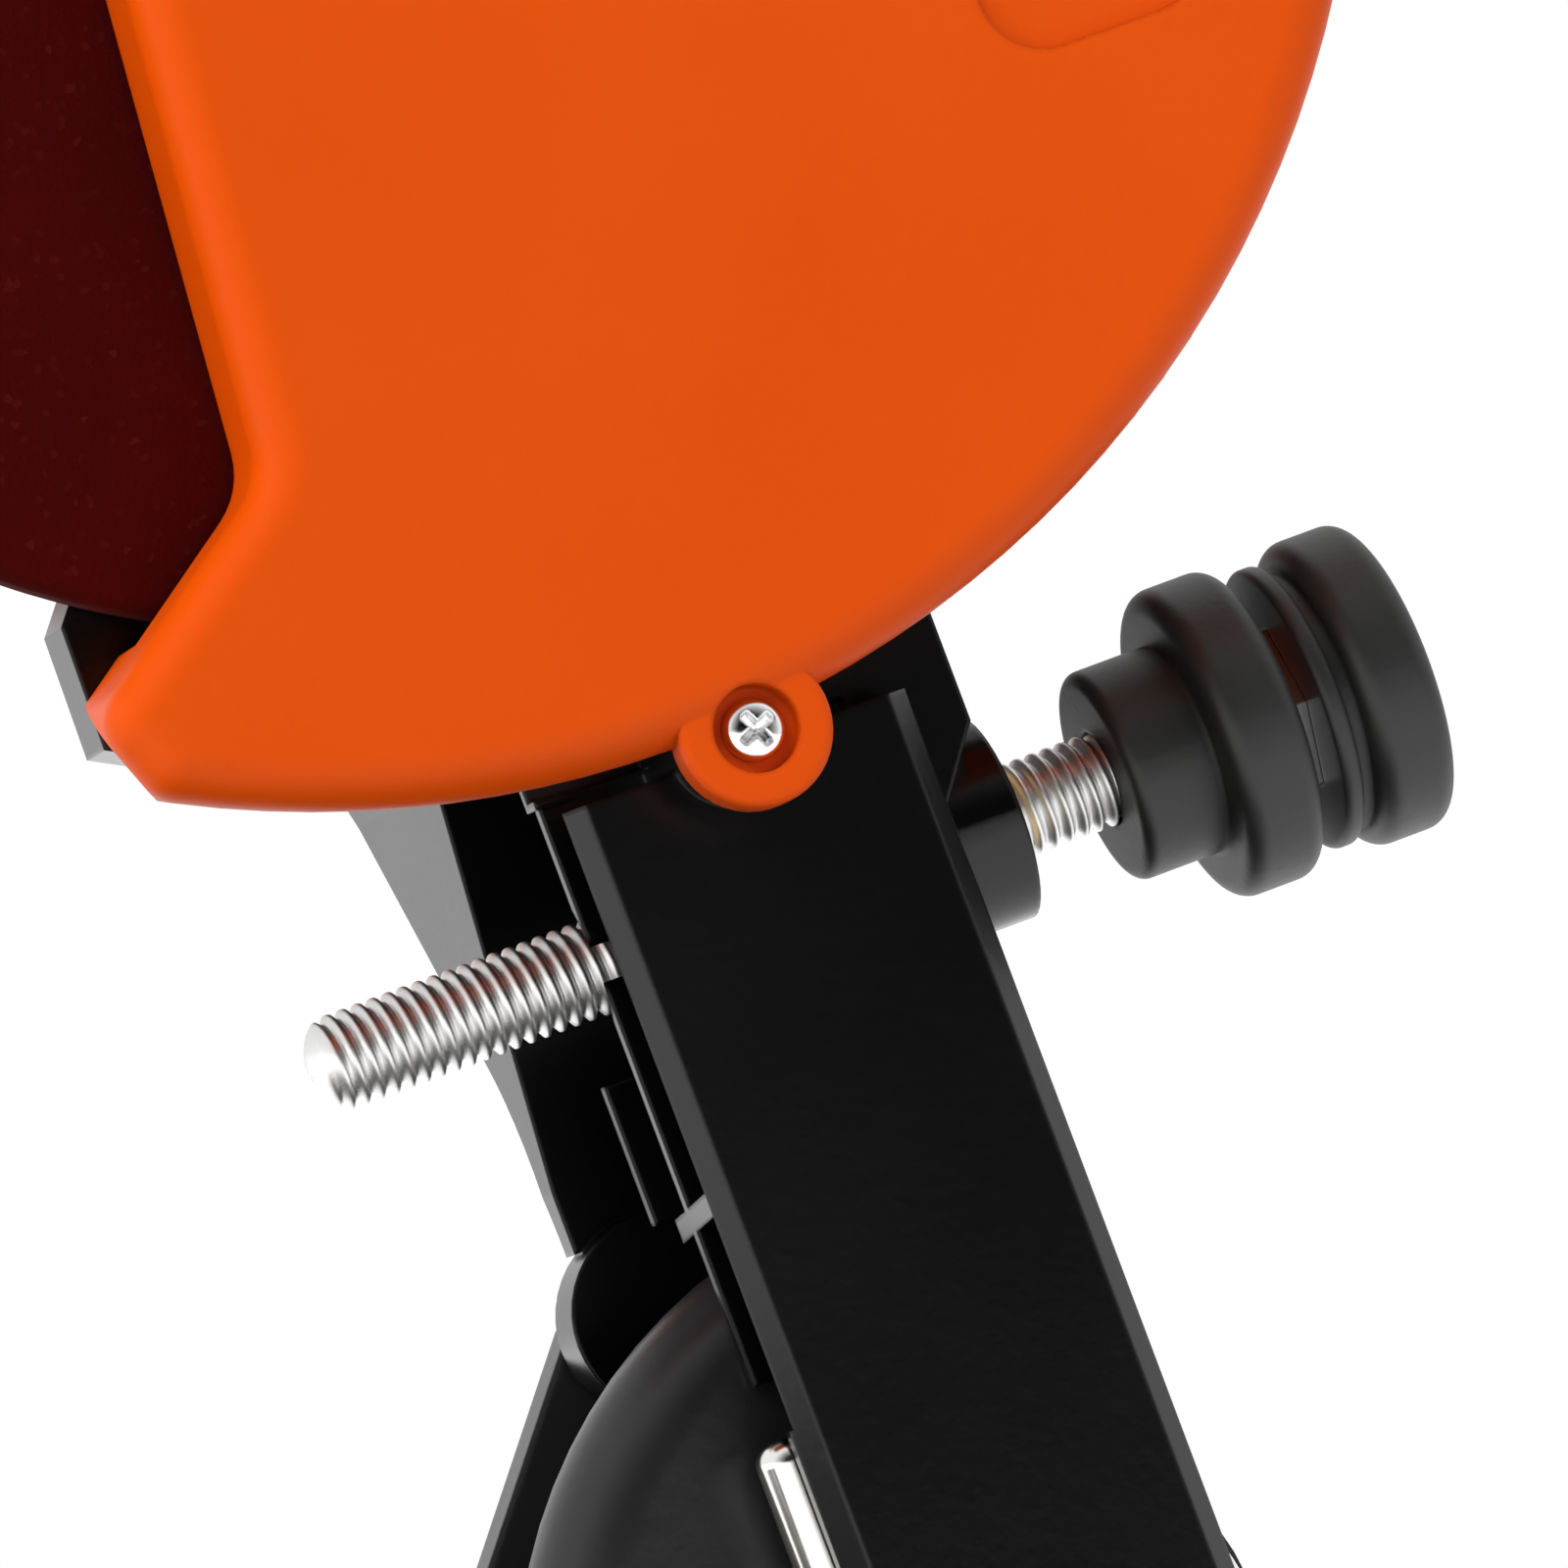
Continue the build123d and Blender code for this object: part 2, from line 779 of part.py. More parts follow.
def spring_gap(edges):
    """Least distance between the wire's skin in turns that lie beside each other."""
    points = []
    for edge in edges:
        points += [edge @ (i / 8) for i in range(8)]
    lengths = [0]
    for before, after in zip(points, points[1:]):
        lengths.append(lengths[-1] + (after - before).length)
    apart = math.pi * spring_mean_radius
    least = min((p - q).length for i, p in enumerate(points) for j, q in enumerate(points[:i])
                if lengths[i] - lengths[j] > apart)
    return least - 2 * spring_wire_radius


# Arm

def arm_neck():
    """Channel between hinge and head that flares into the block which holds the motor."""
    far = depth(arm_depth)
    block_far = depth(block_depth)
    head_x = depth(plate_depth)
    half_turn = math.radians(45)
    bend_x = far - flare_radius * (1 - math.cos(half_turn))
    bend_z = channel_bottom + flare_radius * math.sin(half_turn)
    slope_top = bend_z + bend_x - block_far
    flare = TangentArc((far, channel_bottom), (bend_x, bend_z), tangent=(0, 1))
    rest = Polyline(
        (bend_x, bend_z), (block_far, slope_top), (block_far, block_top), (head_x, block_top),
        (head_x, near_wall_top), (arm_face_x, near_wall_top), (arm_face_x, channel_bottom),
        (far, channel_bottom))
    front_view = make_face([flare.edge()] + rest.edges())
    rest_of_side = [
        (-arm_half_width, block_top), (block_back, block_top), (block_back, block_back_bottom),
        (arm_half_width, screw_height), (arm_half_width, channel_bottom)]
    near_side = polygon([(-arm_half_width, channel_bottom)] + rest_of_side)
    front = -arm_half_width - far_front_lean
    far_side = polygon([
        (front, channel_bottom), (front, channel_bottom + far_front_foot),
        (-arm_half_width, screw_height + far_front_above_screw)] + rest_of_side)
    split = depth(far_rib_depth)
    neck = along_y(front_view, front, block_back)
    neck &= along_x(near_side, split, arm_face_x) + along_x(far_side, block_far, split)
    neck -= block(head_x, arm_face_x + cut_over, arm_half_width, block_back + cut_over,
                  channel_bottom, block_top)
    web = arm_half_width - arm_wall
    neck -= block(far + arm_wall, arm_face_x - arm_wall, front - cut_over, web,
                  channel_bottom - cut_over, channel_top)
    pocket_near = depth(near_rib_depth) - rib_thickness
    return neck - block(far + arm_wall, pocket_near, front - cut_over, web, screw_height,
                        channel_top + head_pocket_height)


def cheeks():
    strip = Pos(0, channel_bottom / 2) * Rectangle(2 * arm_half_width, channel_bottom)
    strip += Circle(arm_half_width)
    near = along_x(strip, arm_face_x - arm_wall, arm_face_x)
    nose = Pos(-nose_forward, nose_height) * Circle(nose_radius)
    far = along_x(strip, depth(arm_depth), depth(arm_depth) + arm_wall)
    far += along_x(nose, depth(arm_depth), depth(arm_depth) + nose_depth)
    holes = disc(axle_radius + bush_wall, depth(arm_depth) - cut_over, arm_face_x + cut_over)
    return near + far - holes


def near_wall_thinning():
    """Wedge cut from the near wall's inner corner, so that its front edge is thin."""
    inner = arm_face_x - arm_wall
    corner = polygon([
        (inner, -arm_half_width), (inner, near_wall_bevel - arm_half_width),
        (inner + near_wall_bevel, -arm_half_width)])
    return along_z(corner, spring_leg_length + seat_gap, channel_top)


def arm_ribs():
    front = rib_setback - arm_half_width
    web = arm_half_width - arm_wall
    near_rib_x = depth(near_rib_depth)
    far_rib_x = depth(far_rib_depth)
    ribs = block(near_rib_x - rib_thickness, near_rib_x, front, web, channel_bottom, channel_top)
    ribs += block(near_rib_x - rib_thickness, near_rib_x, front, front + near_rib_run,
                  near_rib_bottom, channel_bottom)
    ribs -= rod_y(boss_radius, front - cut_over, -boss_front, depth(screw_depth), screw_height)
    ribs += block(far_rib_x - rib_thickness, far_rib_x, front, web, channel_bottom, far_rib_top)
    top = channel_bottom + cross_rib_lift
    near_x = arm_face_x - arm_wall + near_wall_bevel / 2
    far_x = depth(cross_rib_reach)
    cross = polygon([
        (near_x, top), (near_x, top - cross_rib_height), (far_x, top - cross_rib_height - cross_rib_fall),
        (far_x, top - cross_rib_fall)])
    return ribs + along_y(cross, front, front + near_rib_run)


def spring_lug():
    """Lug on the near wall that the spring's moving leg lies against."""
    front = -spring_mean_radius + spring_wire_radius + seat_gap
    top = spring_leg_length + seat_gap
    wall = arm_face_x - arm_wall
    return block(wall - lug_thickness, wall, front, front + lug_thickness, top - lug_length, top)


def back_plate():
    x = depth(plate_depth)
    outline = Circle(plate_radius) - polygon(scaled(plate_cut_shares, wheel_radius))
    outline += Circle(plate_hub_radius)
    return AT_WHEEL * along_x(outline, x - plate_thickness, x)


def ear_posts():
    back = depth(plate_depth) - plate_thickness
    under_rim = depth(cover_back_depth) - seat_gap
    posts = Part()
    for angle in ear_angles:
        y, z = polar(ear_distance, angle)
        posts += disc(ear_post_radius, back, ear_back(), y, z)
        posts += Rot(angle, 0, 0) * block(back, under_rim, ear_distance - 2 * ear_post_radius, ear_distance,
                                          -ear_neck_half, ear_neck_half)
    return AT_WHEEL * posts


def cradle():
    """Drum that holds the motor, with a pad for the switch and a collar for the handle."""
    front = depth(plate_depth) - plate_thickness / 2
    back = depth(block_depth)
    solid = AT_WHEEL * disc(cradle_radius, back, front)
    pad_y = wheel_y - cradle_radius - switch_pad_rise
    half_width = switch_width / 2 + switch_pad_edge
    half_height = switch_height / 2 + switch_pad_edge
    x = depth(switch_depth)
    solid += block(x - half_width, x + half_width, pad_y, wheel_y,
                   wheel_z - half_height, wheel_z + half_height)
    top = wheel_z + cradle_radius
    solid += rod_z(handle_collar_radius, wheel_z, top + handle_collar_length, depth(handle_depth), wheel_y)
    for angle in housing_screw_angles:
        y, z = polar(housing_screw_ring, angle)
        solid += AT_WHEEL * disc(housing_screw_boss, back, back + housing_screw_length, y, z)
    return solid


def motor_room(body):
    """Everything that is cut out of the arm for the motor, the wheel's flange and the fasteners."""
    front = depth(plate_depth)
    back = depth(block_depth)
    room_front = front - plate_thickness - cradle_front_wall
    body -= AT_WHEEL * disc(cradle_radius - cradle_wall, back - cut_over, room_front)
    body -= AT_WHEEL * disc(bearing_outer_radius + running_gap, room_front - cut_over,
                            room_front + bearing_width)
    body -= AT_WHEEL * disc(shaft_radius + bearing_race, room_front, front + cut_over)
    body -= AT_WHEEL * disc(flange_recess_radius, front - flange_recess_depth, front + cut_over)
    for angle in housing_screw_angles:
        y, z = polar(housing_screw_ring, angle)
        body -= AT_WHEEL * disc(housing_screw_radius + running_gap, back - cut_over,
                                back + housing_screw_length - cradle_front_wall, y, z)
    for angle in ear_angles:
        y, z = polar(ear_distance, angle)
        end = cover_screw_seat() - cover_screw_length
        body -= AT_WHEEL * disc(cover_screw_radius + running_gap, end - seat_gap, arm_face_x + cut_over, y, z)
    return body


def switch_room(body):
    x = depth(switch_depth)
    pad_y = wheel_y - cradle_radius - switch_pad_rise
    half_width = switch_width / 2 - switch_bezel_edge + seat_gap
    half_height = switch_height / 2 - switch_bezel_edge + seat_gap
    body -= block(x - half_width, x + half_width, pad_y - cut_over, pad_y + switch_body_depth,
                  wheel_z - half_height, wheel_z + half_height)
    return body


def screw_boss(body):
    x = depth(screw_depth)
    body += rod_y(boss_radius, -boss_front, boss_back, x, screw_height)
    body -= rod_y(screw_radius + seat_gap, -arm_half_width - cut_over, boss_back + cut_over, x, screw_height)
    return body - rod_y(insert_radius, boss_back - insert_length, boss_back + cut_over, x, screw_height)


def arm_casting():
    body = arm_neck() + cheeks() - near_wall_thinning()
    body += arm_ribs() + spring_lug() + cradle() + back_plate()
    rim_back = depth(cover_back_depth) - cover_gap
    rim_room = Circle(cover_radius + cover_gap / 2) - Circle(plate_radius)
    body -= AT_WHEEL * along_x(rim_room, rim_back, arm_face_x + cut_over)
    body = switch_room(motor_room(screw_boss(body) + ear_posts()))
    body -= rod_y(cord_bush_radius, block_back - cord_bush_depth, block_back + cut_over,
                  depth(cord_bush_x_depth), cord_bush_height)
    corner = body.edges().filter_by(Axis.Z).sort_by_distance((arm_face_x, arm_half_width, channel_bottom))[0]
    return ARM * chamfer(corner, length=arm_edge_chamfer)


def arm_bushes():
    bore = axle_radius + running_gap
    outer = axle_radius + bush_wall - running_gap
    near = arm_face_x
    far = depth(arm_depth) + arm_wall
    inside = near - arm_wall
    bushes = disc(outer, inside, near) + disc(bush_flange_radius, inside - bush_flange_thickness, inside)
    bushes += disc(outer, far - arm_wall, far) + disc(bush_flange_radius, far, far + bush_flange_thickness)
    return ARM * (bushes - disc(bore, far - arm_wall - cut_over, near + cut_over))


# Wheel cover

def cover_outline():
    cut = polygon(scaled(cover_cut_shares, cover_radius))
    outline = Circle(cover_radius) - cut
    inner_corner, tip, low_tip = scaled(cover_cut_shares[2:5], cover_radius)
    outline = fillet(nearest_vertices(outline, [inner_corner]), radius=cut_corner_round)
    return fillet(nearest_vertices(outline, [tip, low_tip]), radius=tip_round)


def drafted_room(back_x, face_x):
    """Space that the cover may fill: its rim and its tip narrow towards the back."""
    bend = face_x - cover_edge_round
    wide = cover_radius + running_gap
    run = bend - back_x + cut_over
    narrow = wide - run * math.tan(math.radians(cover_draft))
    room = revolve_x(polygon([
        (back_x - cut_over, 0), (back_x - cut_over, narrow), (bend, wide), (face_x + cut_over, wide),
        (face_x + cut_over, 0)]))
    tip, low_tip = scaled(cover_cut_shares[3:5], cover_radius)
    edge = Vector(0, low_tip[0] - tip[0], low_tip[1] - tip[1])
    beyond = Plane((bend, *tip), x_dir=(1, 0, 0), z_dir=edge.normalized())
    slope = polygon([
        (0, 0), (-run, -run * math.tan(math.radians(cover_tip_draft))), (-run, cover_radius),
        (0, cover_radius)])
    return room - extrude(beyond * slope, amount=edge.length, both=True)


def ear_back():
    """X of the ears' underside, where the arm's posts end."""
    return arm_face_x + cover_face_depth - ear_drop - ear_thickness


def cover_screw_seat():
    return arm_face_x + cover_face_depth - ear_drop - cover_recess_depth


def guard_cover():
    face_x = arm_face_x + cover_face_depth
    back_x = depth(cover_back_depth)
    outline = cover_outline()
    shell = along_x(outline, back_x, face_x)
    shell = fillet(shell.faces().sort_by(Axis.X)[-1].edges(), radius=cover_edge_round)
    shell &= drafted_room(back_x, face_x)
    cut = polygon(scaled(cover_cut_shares, cover_radius))
    cut = offset(cut, amount=cover_rim_wall, kind=Kind.INTERSECTION)
    inside = Circle(cover_radius - cover_rim_wall) - cut
    shell -= along_x(inside, back_x - cut_over, face_x - cover_face_wall)
    shell -= disc(wheel_radius + wheel_room, back_x - cut_over, half_wheel + wheel_room / 2)
    shell -= disc(plate_radius + cover_gap, back_x - cut_over, depth(plate_depth) + cover_gap)
    shell -= disc(flange_radius + wheel_room, back_x - cut_over,
                  half_wheel + outer_flange_thickness + wheel_room / 2)
    panel = Pos(panel_centre_y, panel_centre_z) * RectangleRounded(panel_width, panel_height, panel_corner)
    shell -= along_x(panel, face_x - panel_recess, face_x + cut_over)
    ear_face = face_x - ear_drop
    for angle in ear_angles:
        y, z = polar(ear_distance, angle)
        ear = disc(ear_radius, ear_back() + cover_gap, ear_face, y, z)
        shell += fillet(ear.faces().sort_by(Axis.X)[-1].edges(), radius=ear_edge_round)
        shell -= disc(ear_post_radius + cover_gap, back_x - cut_over, ear_back() + cover_gap, y, z)
        shell -= disc(cover_screw_radius + running_gap, ear_back(), face_x, y, z)
        shell -= disc(cover_recess_radius, cover_screw_seat(), face_x + cut_over, y, z)
    return ARM * AT_WHEEL * shell


def cover_screws():
    seat = cover_screw_seat()
    screws = Part()
    for angle in ear_angles:
        y, z = polar(ear_distance, angle)
        screws += disc(cover_screw_radius, seat - cover_screw_length, seat, y, z)
        screws += disc(cover_screw_head, seat, seat + cover_screw_head_height, y, z)
    return ARM * AT_WHEEL * screws


# Limit screw

def thread_insert():
    x = depth(screw_depth)
    ring = rod_y(insert_radius - running_gap, boss_back - insert_length, boss_back, x, screw_height)
    return ARM * (ring - rod_y(screw_radius + running_gap, -boss_back, 2 * boss_back, x, screw_height))


def limit_screw():
    x = depth(screw_depth)
    rod = rod_y(screw_radius, -screw_tip + screw_dome, knob_back - knob_edge, x, screw_height)
    dome = Pos(x, -screw_tip + screw_dome, screw_height) * Sphere(screw_radius)
    centred = dome.moved(Location((-x, screw_tip - screw_dome, -screw_height)))
    dome = scale(centred, by=(1, screw_dome / screw_radius, 1))
    return ARM * (rod + Pos(x, -screw_tip + screw_dome, screw_height) * dome)


def limit_nut():
    x = depth(screw_depth)
    nut = along_y(Pos(x, screw_height) * hexagon(nut_across_flats), nut_front, knob_front + knob_rim)
    return ARM * (nut - rod_y(screw_radius + running_gap, nut_front - cut_over, knob_back, x, screw_height))


def limit_knob():
    """End knob: a thin front rim, a groove and a thick disc with rounded edges."""
    place = Pos(depth(screw_depth), screw_height)
    rim_back = knob_front + knob_rim
    groove_back = rim_back + knob_groove
    rim = along_y(place * Circle(knob_radius - knob_edge), knob_front, rim_back)
    grip = along_y(place * Circle(knob_radius), groove_back, knob_back)
    knob = fillet(rim.edges().filter_by(GeomType.CIRCLE), radius=knob_rim / 3)
    knob += fillet(grip.edges().filter_by(GeomType.CIRCLE), radius=knob_round)
    knob += along_y(place * Circle(knob_neck_radius), rim_back - knob_rim / 2, groove_back + knob_groove)
    knob -= along_y(place * hexagon(nut_across_flats + 2 * running_gap), knob_front - cut_over, rim_back)
    bore = along_y(place * Circle(screw_radius + running_gap), knob_front - cut_over, knob_back - knob_edge)
    return ARM * (knob - bore)


def lock_knob():
    """Lock nut: a hub towards the arm and a wide flange that the fingers turn."""
    place = Pos(depth(screw_depth), screw_height)
    hub = along_y(place * Circle(lock_hub_radius), lock_hub_front, lock_flange_front)
    flange = along_y(place * Circle(lock_flange_radius), lock_flange_front, lock_flange_back)
    knob = fillet(hub.faces().sort_by(Axis.Y)[0].edges(), radius=knob_edge)
    knob += fillet(flange.edges().filter_by(GeomType.CIRCLE), radius=knob_round)
    bore = along_y(place * Circle(screw_radius + running_gap), lock_hub_front - cut_over,
                   lock_flange_back + cut_over)
    return ARM * (knob - bore)


# Motor

def motor_x():
    """X of the cradle's back edge, where the housing starts."""
    return depth(block_depth)


def stator():
    back = depth(stator_depth) - stator_length
    front = depth(stator_depth)
    flats = Rectangle(2 * stator_flat_half, 2 * stator_radius)
    ring = (Circle(stator_radius) & flats) - Circle(stator_inner_radius)
    coils = Circle(winding_radius) - Circle(stator_inner_radius + seat_gap)
    solid = along_x(ring, back, front) + along_x(coils, front, front + winding_length)
    return ARM * AT_WHEEL * (solid + along_x(coils, back - winding_length, back))


def rotor():
    back = depth(stator_depth) - stator_length
    front = depth(stator_depth)
    housing_end = motor_x() - housing_length
    core = disc(rotor_radius, back, front)
    core += disc(rotor_coil_radius, front, front + rotor_coil_length)
    core += disc(rotor_coil_radius, back - rotor_coil_length, back)
    core += disc(shaft_radius, housing_end + spider_wall + tail_bearing_width, shaft_front)
    tail_start = housing_end + spider_wall
    core += disc(tail_radius, tail_start + seat_gap, tail_start + tail_bearing_width)
    return ARM * AT_WHEEL * core


def commutator():
    front = depth(stator_depth) - stator_length - rotor_coil_length - commutator_gap
    ring = Circle(commutator_radius) - Circle(shaft_radius + running_gap)
    return ARM * AT_WHEEL * along_x(ring, front - commutator_length, front)


def cooling_fan():
    front = depth(fan_depth)
    plate_back = front - fan_plate
    fan = along_x(Circle(fan_radius), plate_back, front)
    fan += along_x(Circle(fan_hub_radius), plate_back - fan_blade_height, plate_back)
    for turn in range(fan_blades):
        blade = block(plate_back - fan_blade_height, plate_back, fan_hub_radius - fan_plate,
                      fan_radius - fan_plate, -fan_blade_thickness / 2, fan_blade_thickness / 2)
        fan += Rot(turn * 360 / fan_blades, 0, 0) * blade
    bore = disc(shaft_radius + running_gap, plate_back - fan_blade_height - cut_over, front + cut_over)
    return ARM * AT_WHEEL * (fan - bore)


def bearing(outer, bore, width, start):
    """Ball bearing as one ring with a groove between its races on both sides."""
    ring = disc(outer, start, start + width) - disc(bore, start - cut_over, start + width + cut_over)
    groove = Circle(outer - bearing_race) - Circle(bore + bearing_race)
    for side in (start - cut_over, start + width - seat_gap):
        ring -= along_x(groove, side, side + cut_over + seat_gap)
    return ARM * AT_WHEEL * ring


def front_bearing():
    start = depth(plate_depth) - plate_thickness - cradle_front_wall
    return bearing(bearing_outer_radius, shaft_radius + running_gap, bearing_width, start)


def rear_bearing():
    start = motor_x() - housing_length + spider_wall
    return bearing(tail_bearing_radius, tail_radius + running_gap, tail_bearing_width, start)


def brush_x():
    front = depth(stator_depth) - stator_length - rotor_coil_length - commutator_gap
    return front - commutator_length / 2


def carbon_brushes():
    x = brush_x()
    inner = commutator_radius + brush_gap
    outer = cradle_radius + brush_cap_rise - brush_cap_length
    half = brush_width / 2
    brushes = Part()
    for side in (1, -1):
        low, high = sorted((side * inner, side * outer))
        brushes += block(x - half, x + half, low, high, -brush_height / 2, brush_height / 2)
    return ARM * AT_WHEEL * brushes


def brush_caps():
    x = brush_x()
    outer = cradle_radius + brush_cap_rise
    caps = Part()
    for side in (1, -1):
        low, high = sorted((side * (outer - brush_cap_length), side * outer))
        cap = rod_y(brush_cap_radius, low, high, x, 0)
        cut_low, cut_high = sorted((side * (outer - brush_cap_rise), side * (outer + cut_over)))
        slot = block(x - brush_cap_radius, x + brush_cap_radius, cut_low, cut_high,
                     -brush_slot_half, brush_slot_half)
        caps += cap - slot
    return ARM * AT_WHEEL * caps


def motor_housing():
    front = motor_x()
    back = front - housing_length
    inner = cradle_radius - housing_wall
    shell = disc(cradle_radius, back, front)
    for angle in housing_screw_angles:
        y, z = polar(housing_screw_ring, angle)
        shell += disc(housing_screw_boss, front - housing_screw_head * 2, front, y, z)
    shell -= disc(inner, back - cut_over, front + cut_over)
    outer = cradle_radius + brush_cap_rise
    brush = brush_x()
    boss = rod_y(brush_cap_radius + housing_wall, -outer + brush_cap_rise, outer - brush_cap_rise, brush)
    boss -= disc(outer + cut_over, front, front + cut_over)
    shell += boss - disc(inner - brush_cap_length / 2, back - cut_over, front + cut_over)
    shell -= rod_y(brush_cap_radius + running_gap, -outer - cut_over, outer + cut_over, brush)
    for angle in housing_screw_angles:
        y, z = polar(housing_screw_ring, angle)
        shell -= disc(housing_screw_radius + running_gap, back - cut_over, front + cut_over, y, z)
    for turn in range(housing_slots):
        angle = (turn + 0.5) * 360 / housing_slots
        slot = block(back + housing_slot_length / 2, back + housing_slot_length * 1.5, inner - cut_over,
                     cradle_radius + cut_over, -housing_slot_width / 2, housing_slot_width / 2)
        shell -= Rot(angle, 0, 0) * slot
    return ARM * AT_WHEEL * (shell + spider(back, inner))


def spider(back, inner):
    """Spokes and ring inside the housing that hold the rear bearing."""
    end = back + spider_wall + tail_bearing_width
    ring = disc(tail_bearing_radius + housing_wall, back, end)
    for turn in range(spider_spokes):
        spoke = block(back, end, 0, inner + housing_wall / 2, -spider_spoke_half, spider_spoke_half)
        ring += Rot(turn * 360 / spider_spokes, 0, 0) * spoke
    ring -= disc(tail_bearing_radius + running_gap, back + spider_wall, end + cut_over)
    return ring - disc(tail_radius + seat_gap, back - cut_over, end)


def housing_screws():
    seat = motor_x() - housing_screw_head * 2
    screws = Part()
    for angle in housing_screw_angles:
        y, z = polar(housing_screw_ring, angle)
        screws += disc(housing_screw_radius, seat, motor_x() + housing_screw_length / 2, y, z)
        screws += disc(housing_screw_head, seat - housing_screw_radius, seat, y, z)
    return ARM * AT_WHEEL * screws


def end_cap():
    front = motor_x() - housing_length
    back = front - end_cap_length
    cap = disc(cradle_radius, back, front)
    cap = fillet(cap.faces().sort_by(Axis.X)[0].edges(), radius=end_cap_round)
    cap -= disc(cradle_radius - end_cap_round, back + end_cap_wall, front + cut_over)
    half = (end_cap_slots - 1) / 2
    for row in range(end_cap_slots):
        z = (row - half) * end_cap_slot_pitch
        reach = math.sqrt((cradle_radius - 2 * end_cap_round) ** 2 - z ** 2)
        cap -= block(back - cut_over, back + end_cap_wall + cut_over, -reach, reach,
                     z - end_cap_slot_width / 2, z + end_cap_slot_width / 2)
    return ARM * AT_WHEEL * cap


# Wheel and its flanges

def inner_flange():
    flange = disc(flange_radius, -half_wheel - inner_flange_thickness, -half_wheel)
    relief = Circle(flange_radius - bearing_race) - Circle(flange_relief_radius)
    flange -= along_x(relief, -half_wheel - flange_relief_depth, -half_wheel + cut_over)
    flange += disc(flange_pilot_radius, -half_wheel - flange_relief_depth, half_wheel - seat_gap)
    bore = disc(shaft_radius + running_gap, -cut_over, wheel_thickness)
    return ARM * AT_WHEEL * (flange - bore)


def grinding_wheel():
    ring = disc(wheel_radius, -half_wheel, half_wheel)
    ring = fillet(ring.edges().filter_by(GeomType.CIRCLE), radius=wheel_rim_round)
    bore = disc(wheel_bore / 2, -half_wheel - cut_over, half_wheel + cut_over)
    return ARM * AT_WHEEL * (ring - bore)


def outer_flange():
    flange = disc(flange_radius, half_wheel, half_wheel + outer_flange_thickness)
    relief = Circle(flange_radius - bearing_race)
    flange -= along_x(relief, half_wheel - cut_over, half_wheel + flange_relief_depth)
    bore = disc(shaft_radius + running_gap, half_wheel - cut_over, half_wheel + cut_over)
    return ARM * AT_WHEEL * (flange - bore)


def spindle_nut():
    start = half_wheel + outer_flange_thickness
    nut = along_x(hexagon(spindle_nut_across), start, start + spindle_nut_height)
    return ARM * AT_WHEEL * (nut - disc(shaft_radius + running_gap, start - cut_over, start + cut_over))


# Handle, switch and cord inlet

def handle_bar():
    x = depth(handle_depth)
    start = wheel_z + cradle_radius + handle_collar_length
    bar = rod_z(handle_radius, start, start + handle_length - grip_end_wall - running_gap, x, wheel_y)
    return ARM * chamfer(bar.faces().sort_by(Axis.Z)[-1].edges(), length=handle_radius / 4)


def handle_grip():
    x = depth(handle_depth)
    start = wheel_z + cradle_radius + handle_collar_length + handle_length - grip_length
    end = start + grip_length
    middle = grip_radius - grip_waist
    section = Polyline((0, start), (grip_radius, start), close=False)
    side = ThreePointArc((grip_radius, start), (middle, (start + end) / 2), (grip_radius, end))
    back = Polyline((grip_radius, end), (0, end), (0, start))
    grip = revolve(Plane.XZ * make_face(section.edges() + [side.edge()] + back.edges()), axis=Axis.Z)
    grip = fillet(grip.edges().filter_by(GeomType.CIRCLE).sort_by(Axis.Z)[-1], radius=grip_end_round)
    step = grip_length / (grip_ribs + 1)
    for row in range(grip_ribs):
        z = start + (row + 1) * step
        ring = Circle(grip_radius + cut_over) - Circle(middle - grip_rib_depth)
        grip -= along_z(ring, z - grip_rib_width / 2, z + grip_rib_width / 2)
    grip -= rod_z(handle_radius + running_gap, start - cut_over, end - grip_end_wall)
    return ARM * Pos(x, wheel_y, 0) * grip


def switch_place():
    return depth(switch_depth), wheel_y - cradle_radius - switch_pad_rise, wheel_z


def switch_body():
    x, y, z = switch_place()
    half_width = switch_width / 2
    half_height = switch_height / 2
    body = block(x - half_width, x + half_width, y - switch_bezel, y, z - half_height, z + half_height)
    body += block(x - half_width + switch_bezel_edge, x + half_width - switch_bezel_edge, y,
                  y + switch_body_depth - seat_gap, z - half_height + switch_bezel_edge,
                  z + half_height - switch_bezel_edge)
    room = rocker_width / 2 + rocker_play
    pivot_y = y - switch_bezel + rocker_sink
    body -= disc(rocker_radius + rocker_play, x - room, x + room, pivot_y, z)
    return ARM * body


def switch_rocker():
    x, y, z = switch_place()
    pivot_y = y - switch_bezel + rocker_sink
    half = rocker_width / 2
    tilt = Pos(0, pivot_y, z) * Rot(rocker_tilt / 2, 0, 0)
    drum = disc(rocker_radius, x - half, x + half)
    front = -rocker_radius
    wing = rocker_radius + cut_over
    notch = along_x(polygon([
        (front - cut_over, -wing), (front + rocker_notch, -wing), (front + 2 * rocker_notch, 0),
        (front + rocker_notch, wing), (front - cut_over, wing)]), x - half - cut_over, x + half + cut_over)
    return ARM * tilt * (drum - notch)


def cord_bush():
    x = depth(cord_bush_x_depth)
    bush = rod_y(cord_bush_radius - running_gap, block_back - cord_bush_depth + seat_gap, block_back, x,
                 cord_bush_height)
    bush += rod_y(cord_bush_flange, block_back, block_back + cord_bush_rim, x, cord_bush_height)
    bush = chamfer(bush.faces().sort_by(Axis.Y)[-1].edges(), length=cord_bush_rim / 4)
    return ARM * (bush - rod_y(bush_hole_radius, 0, 2 * block_back, x, cord_bush_height))


# Vice

